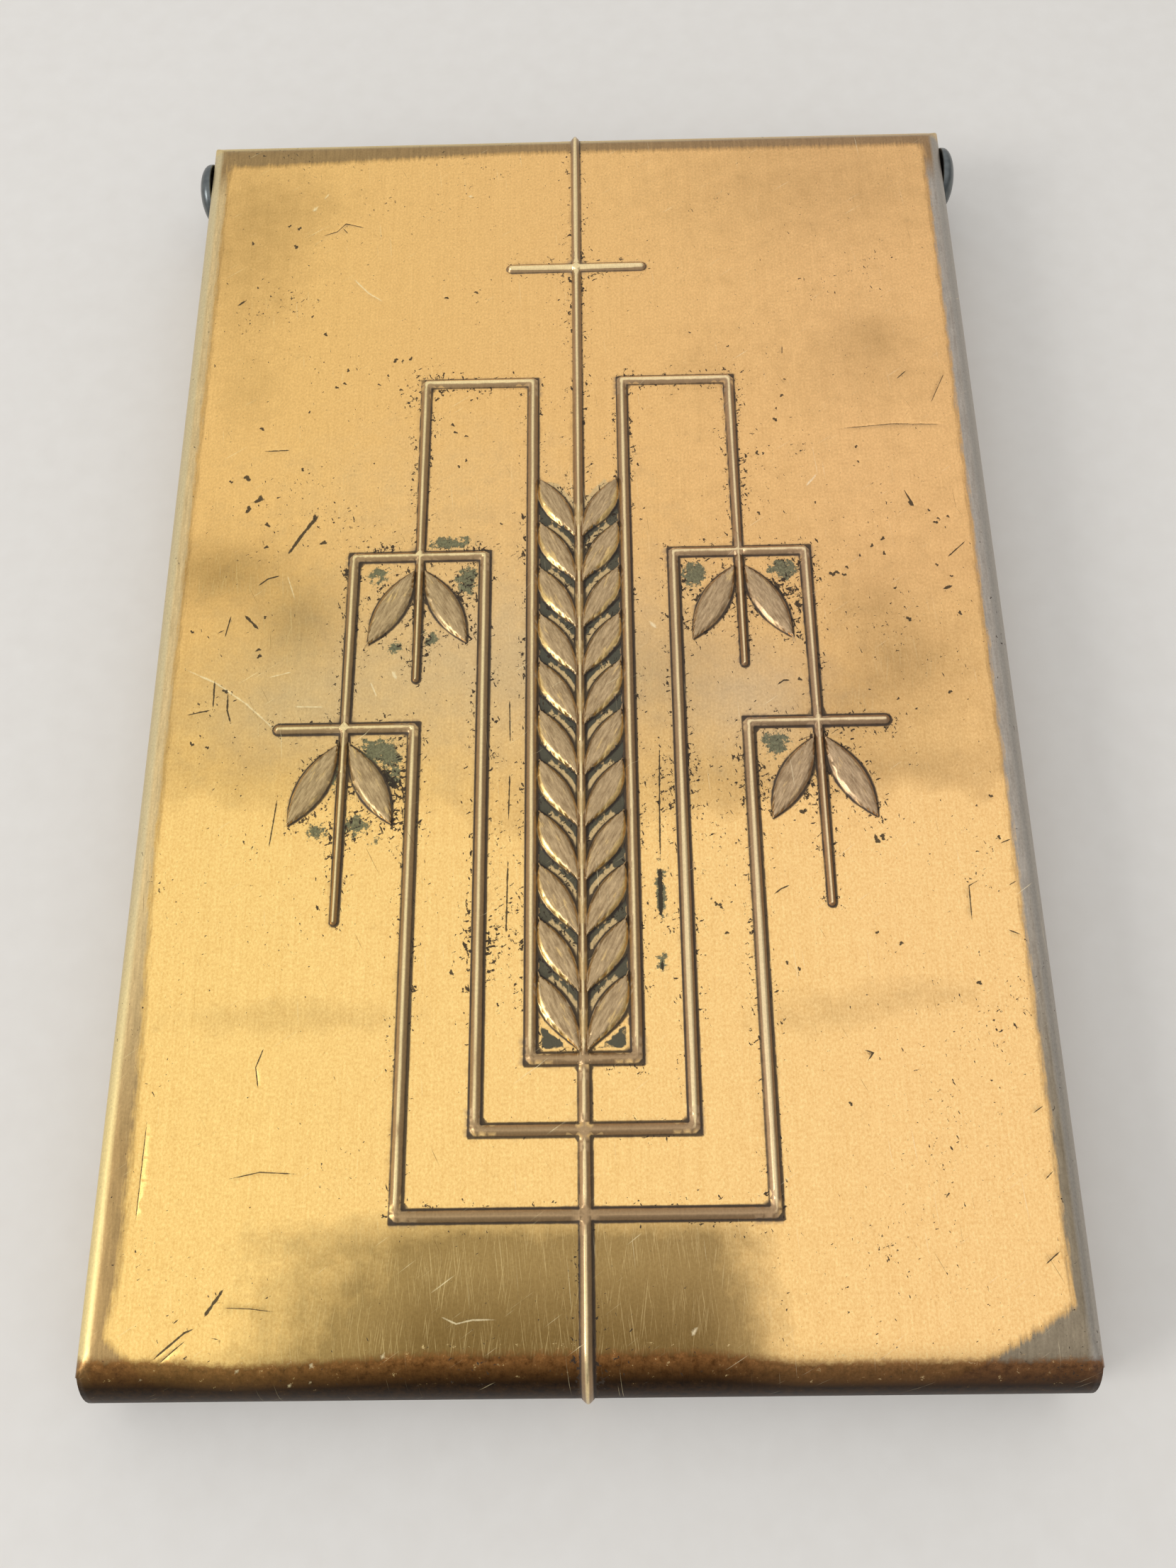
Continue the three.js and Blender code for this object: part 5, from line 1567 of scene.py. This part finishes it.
def studio_light():
    """One large soft lamp at the left, and a pale room that is a little dimmer behind the object."""
    lamp = bpy.data.lights.new("soft_left", "AREA")
    lamp.size = LAMP_SIZE * MM
    lamp.energy = LAMP_POWER
    made = bpy.data.objects.new("soft_left", lamp)
    made.location = Vector(LAMP_PLACE) * MM
    made.rotation_mode = "QUATERNION"
    made.rotation_quaternion = (-made.location).to_track_quat("-Z", "Y")
    bpy.context.scene.collection.objects.link(made)
    world = bpy.data.worlds.new("pale_room")
    bpy.context.scene.world = world
    world.use_nodes = True
    tree = world.node_tree
    direction = add(tree, "TexCoord", output="Generated")
    behind = add(tree, "SeparateXYZ", (direction,), "Y")
    upwards = add(tree, "SeparateXYZ", (direction,), "Z")
    side = add(tree, "VectorMath", (direction, ROOM_BRIGHTER_TO), "Value", operation="DOT_PRODUCT")
    low = add(tree, "MapRange", (side, -0.8, 0.8, 0.34, 0.88))
    high = add(tree, "MapRange", (behind, 0.22, 0.45, 1.0, 0.97))
    rise = add(tree, "MapRange", (upwards, 0.3, 0.9))
    room = add(tree, "Mix", {0: rise, 2: low, 3: high}, data_type="FLOAT")
    rays = ("Is Glossy Ray", "Is Transmission Ray", "Is Camera Ray")
    glossy, through, seen = (add(tree, "LightPath", output=ray) for ray in rays)
    mirrored = add(tree, "Math", (glossy, through), operation="MAXIMUM")
    strength = add(tree, "Mix", {0: mirrored, 2: ROOM_DIFFUSE, 3: room}, data_type="FLOAT")
    strength = add(tree, "Mix", {0: seen, 2: strength, 3: PALE_BACKGROUND}, data_type="FLOAT")
    connect(tree, tree.nodes["Background"], {"Color": "#ffffff", "Strength": strength})


camera()
floor()
studio_light()
bpy.context.scene.view_settings.view_transform = "Standard"

cover = struck_cover()
cover.data.materials.append(struck_brass())
cover.data.materials.append(sheet_brass("struck_brass_inside", "#e3bb74", "#b98d49", 0.16, 0.3, 0.42))
folded_brass = sheet_brass("brushed_folded_brass", "#e8c27c", "#bf944f", 0.14, 0.26, 0.38)
bar_brass = sheet_brass("brushed_bar_brass", "#efcb86", "#c9a05a", 0.12, 0.22, 0.32, axis=0)
screw_brass = turned_brass()
blued_steel = turned_steel()
celluloid = ivory_celluloid()
for side, hand in ((-1, "left"), (1, "right")):
    hinge_rivet(hand + "_hinge_rivet", side, blued_steel)
    hinge_ring(hand + "_hinge_washer", side, RIVET_SHANK + WASHER_CLEAR, folded_brass)
    hinge_ring(hand + "_rivet_burr", side, RIVET_SHANK + BURR_CLEAR, blued_steel)
    finish_node(hand + "_binding_post", folded_brass, 0.0)
    binding_screw(hand + "_binding_screw", screw_brass)
finish_node("base_tray", folded_brass, 0.12)
finish_node("binding_bar", bar_brass, 0.2)
finish_node("base_felt", baize_felt(), 0.2)
for number in range(1, 7):
    finish_node(f"celluloid_leaf_{number}", celluloid, 0.1)
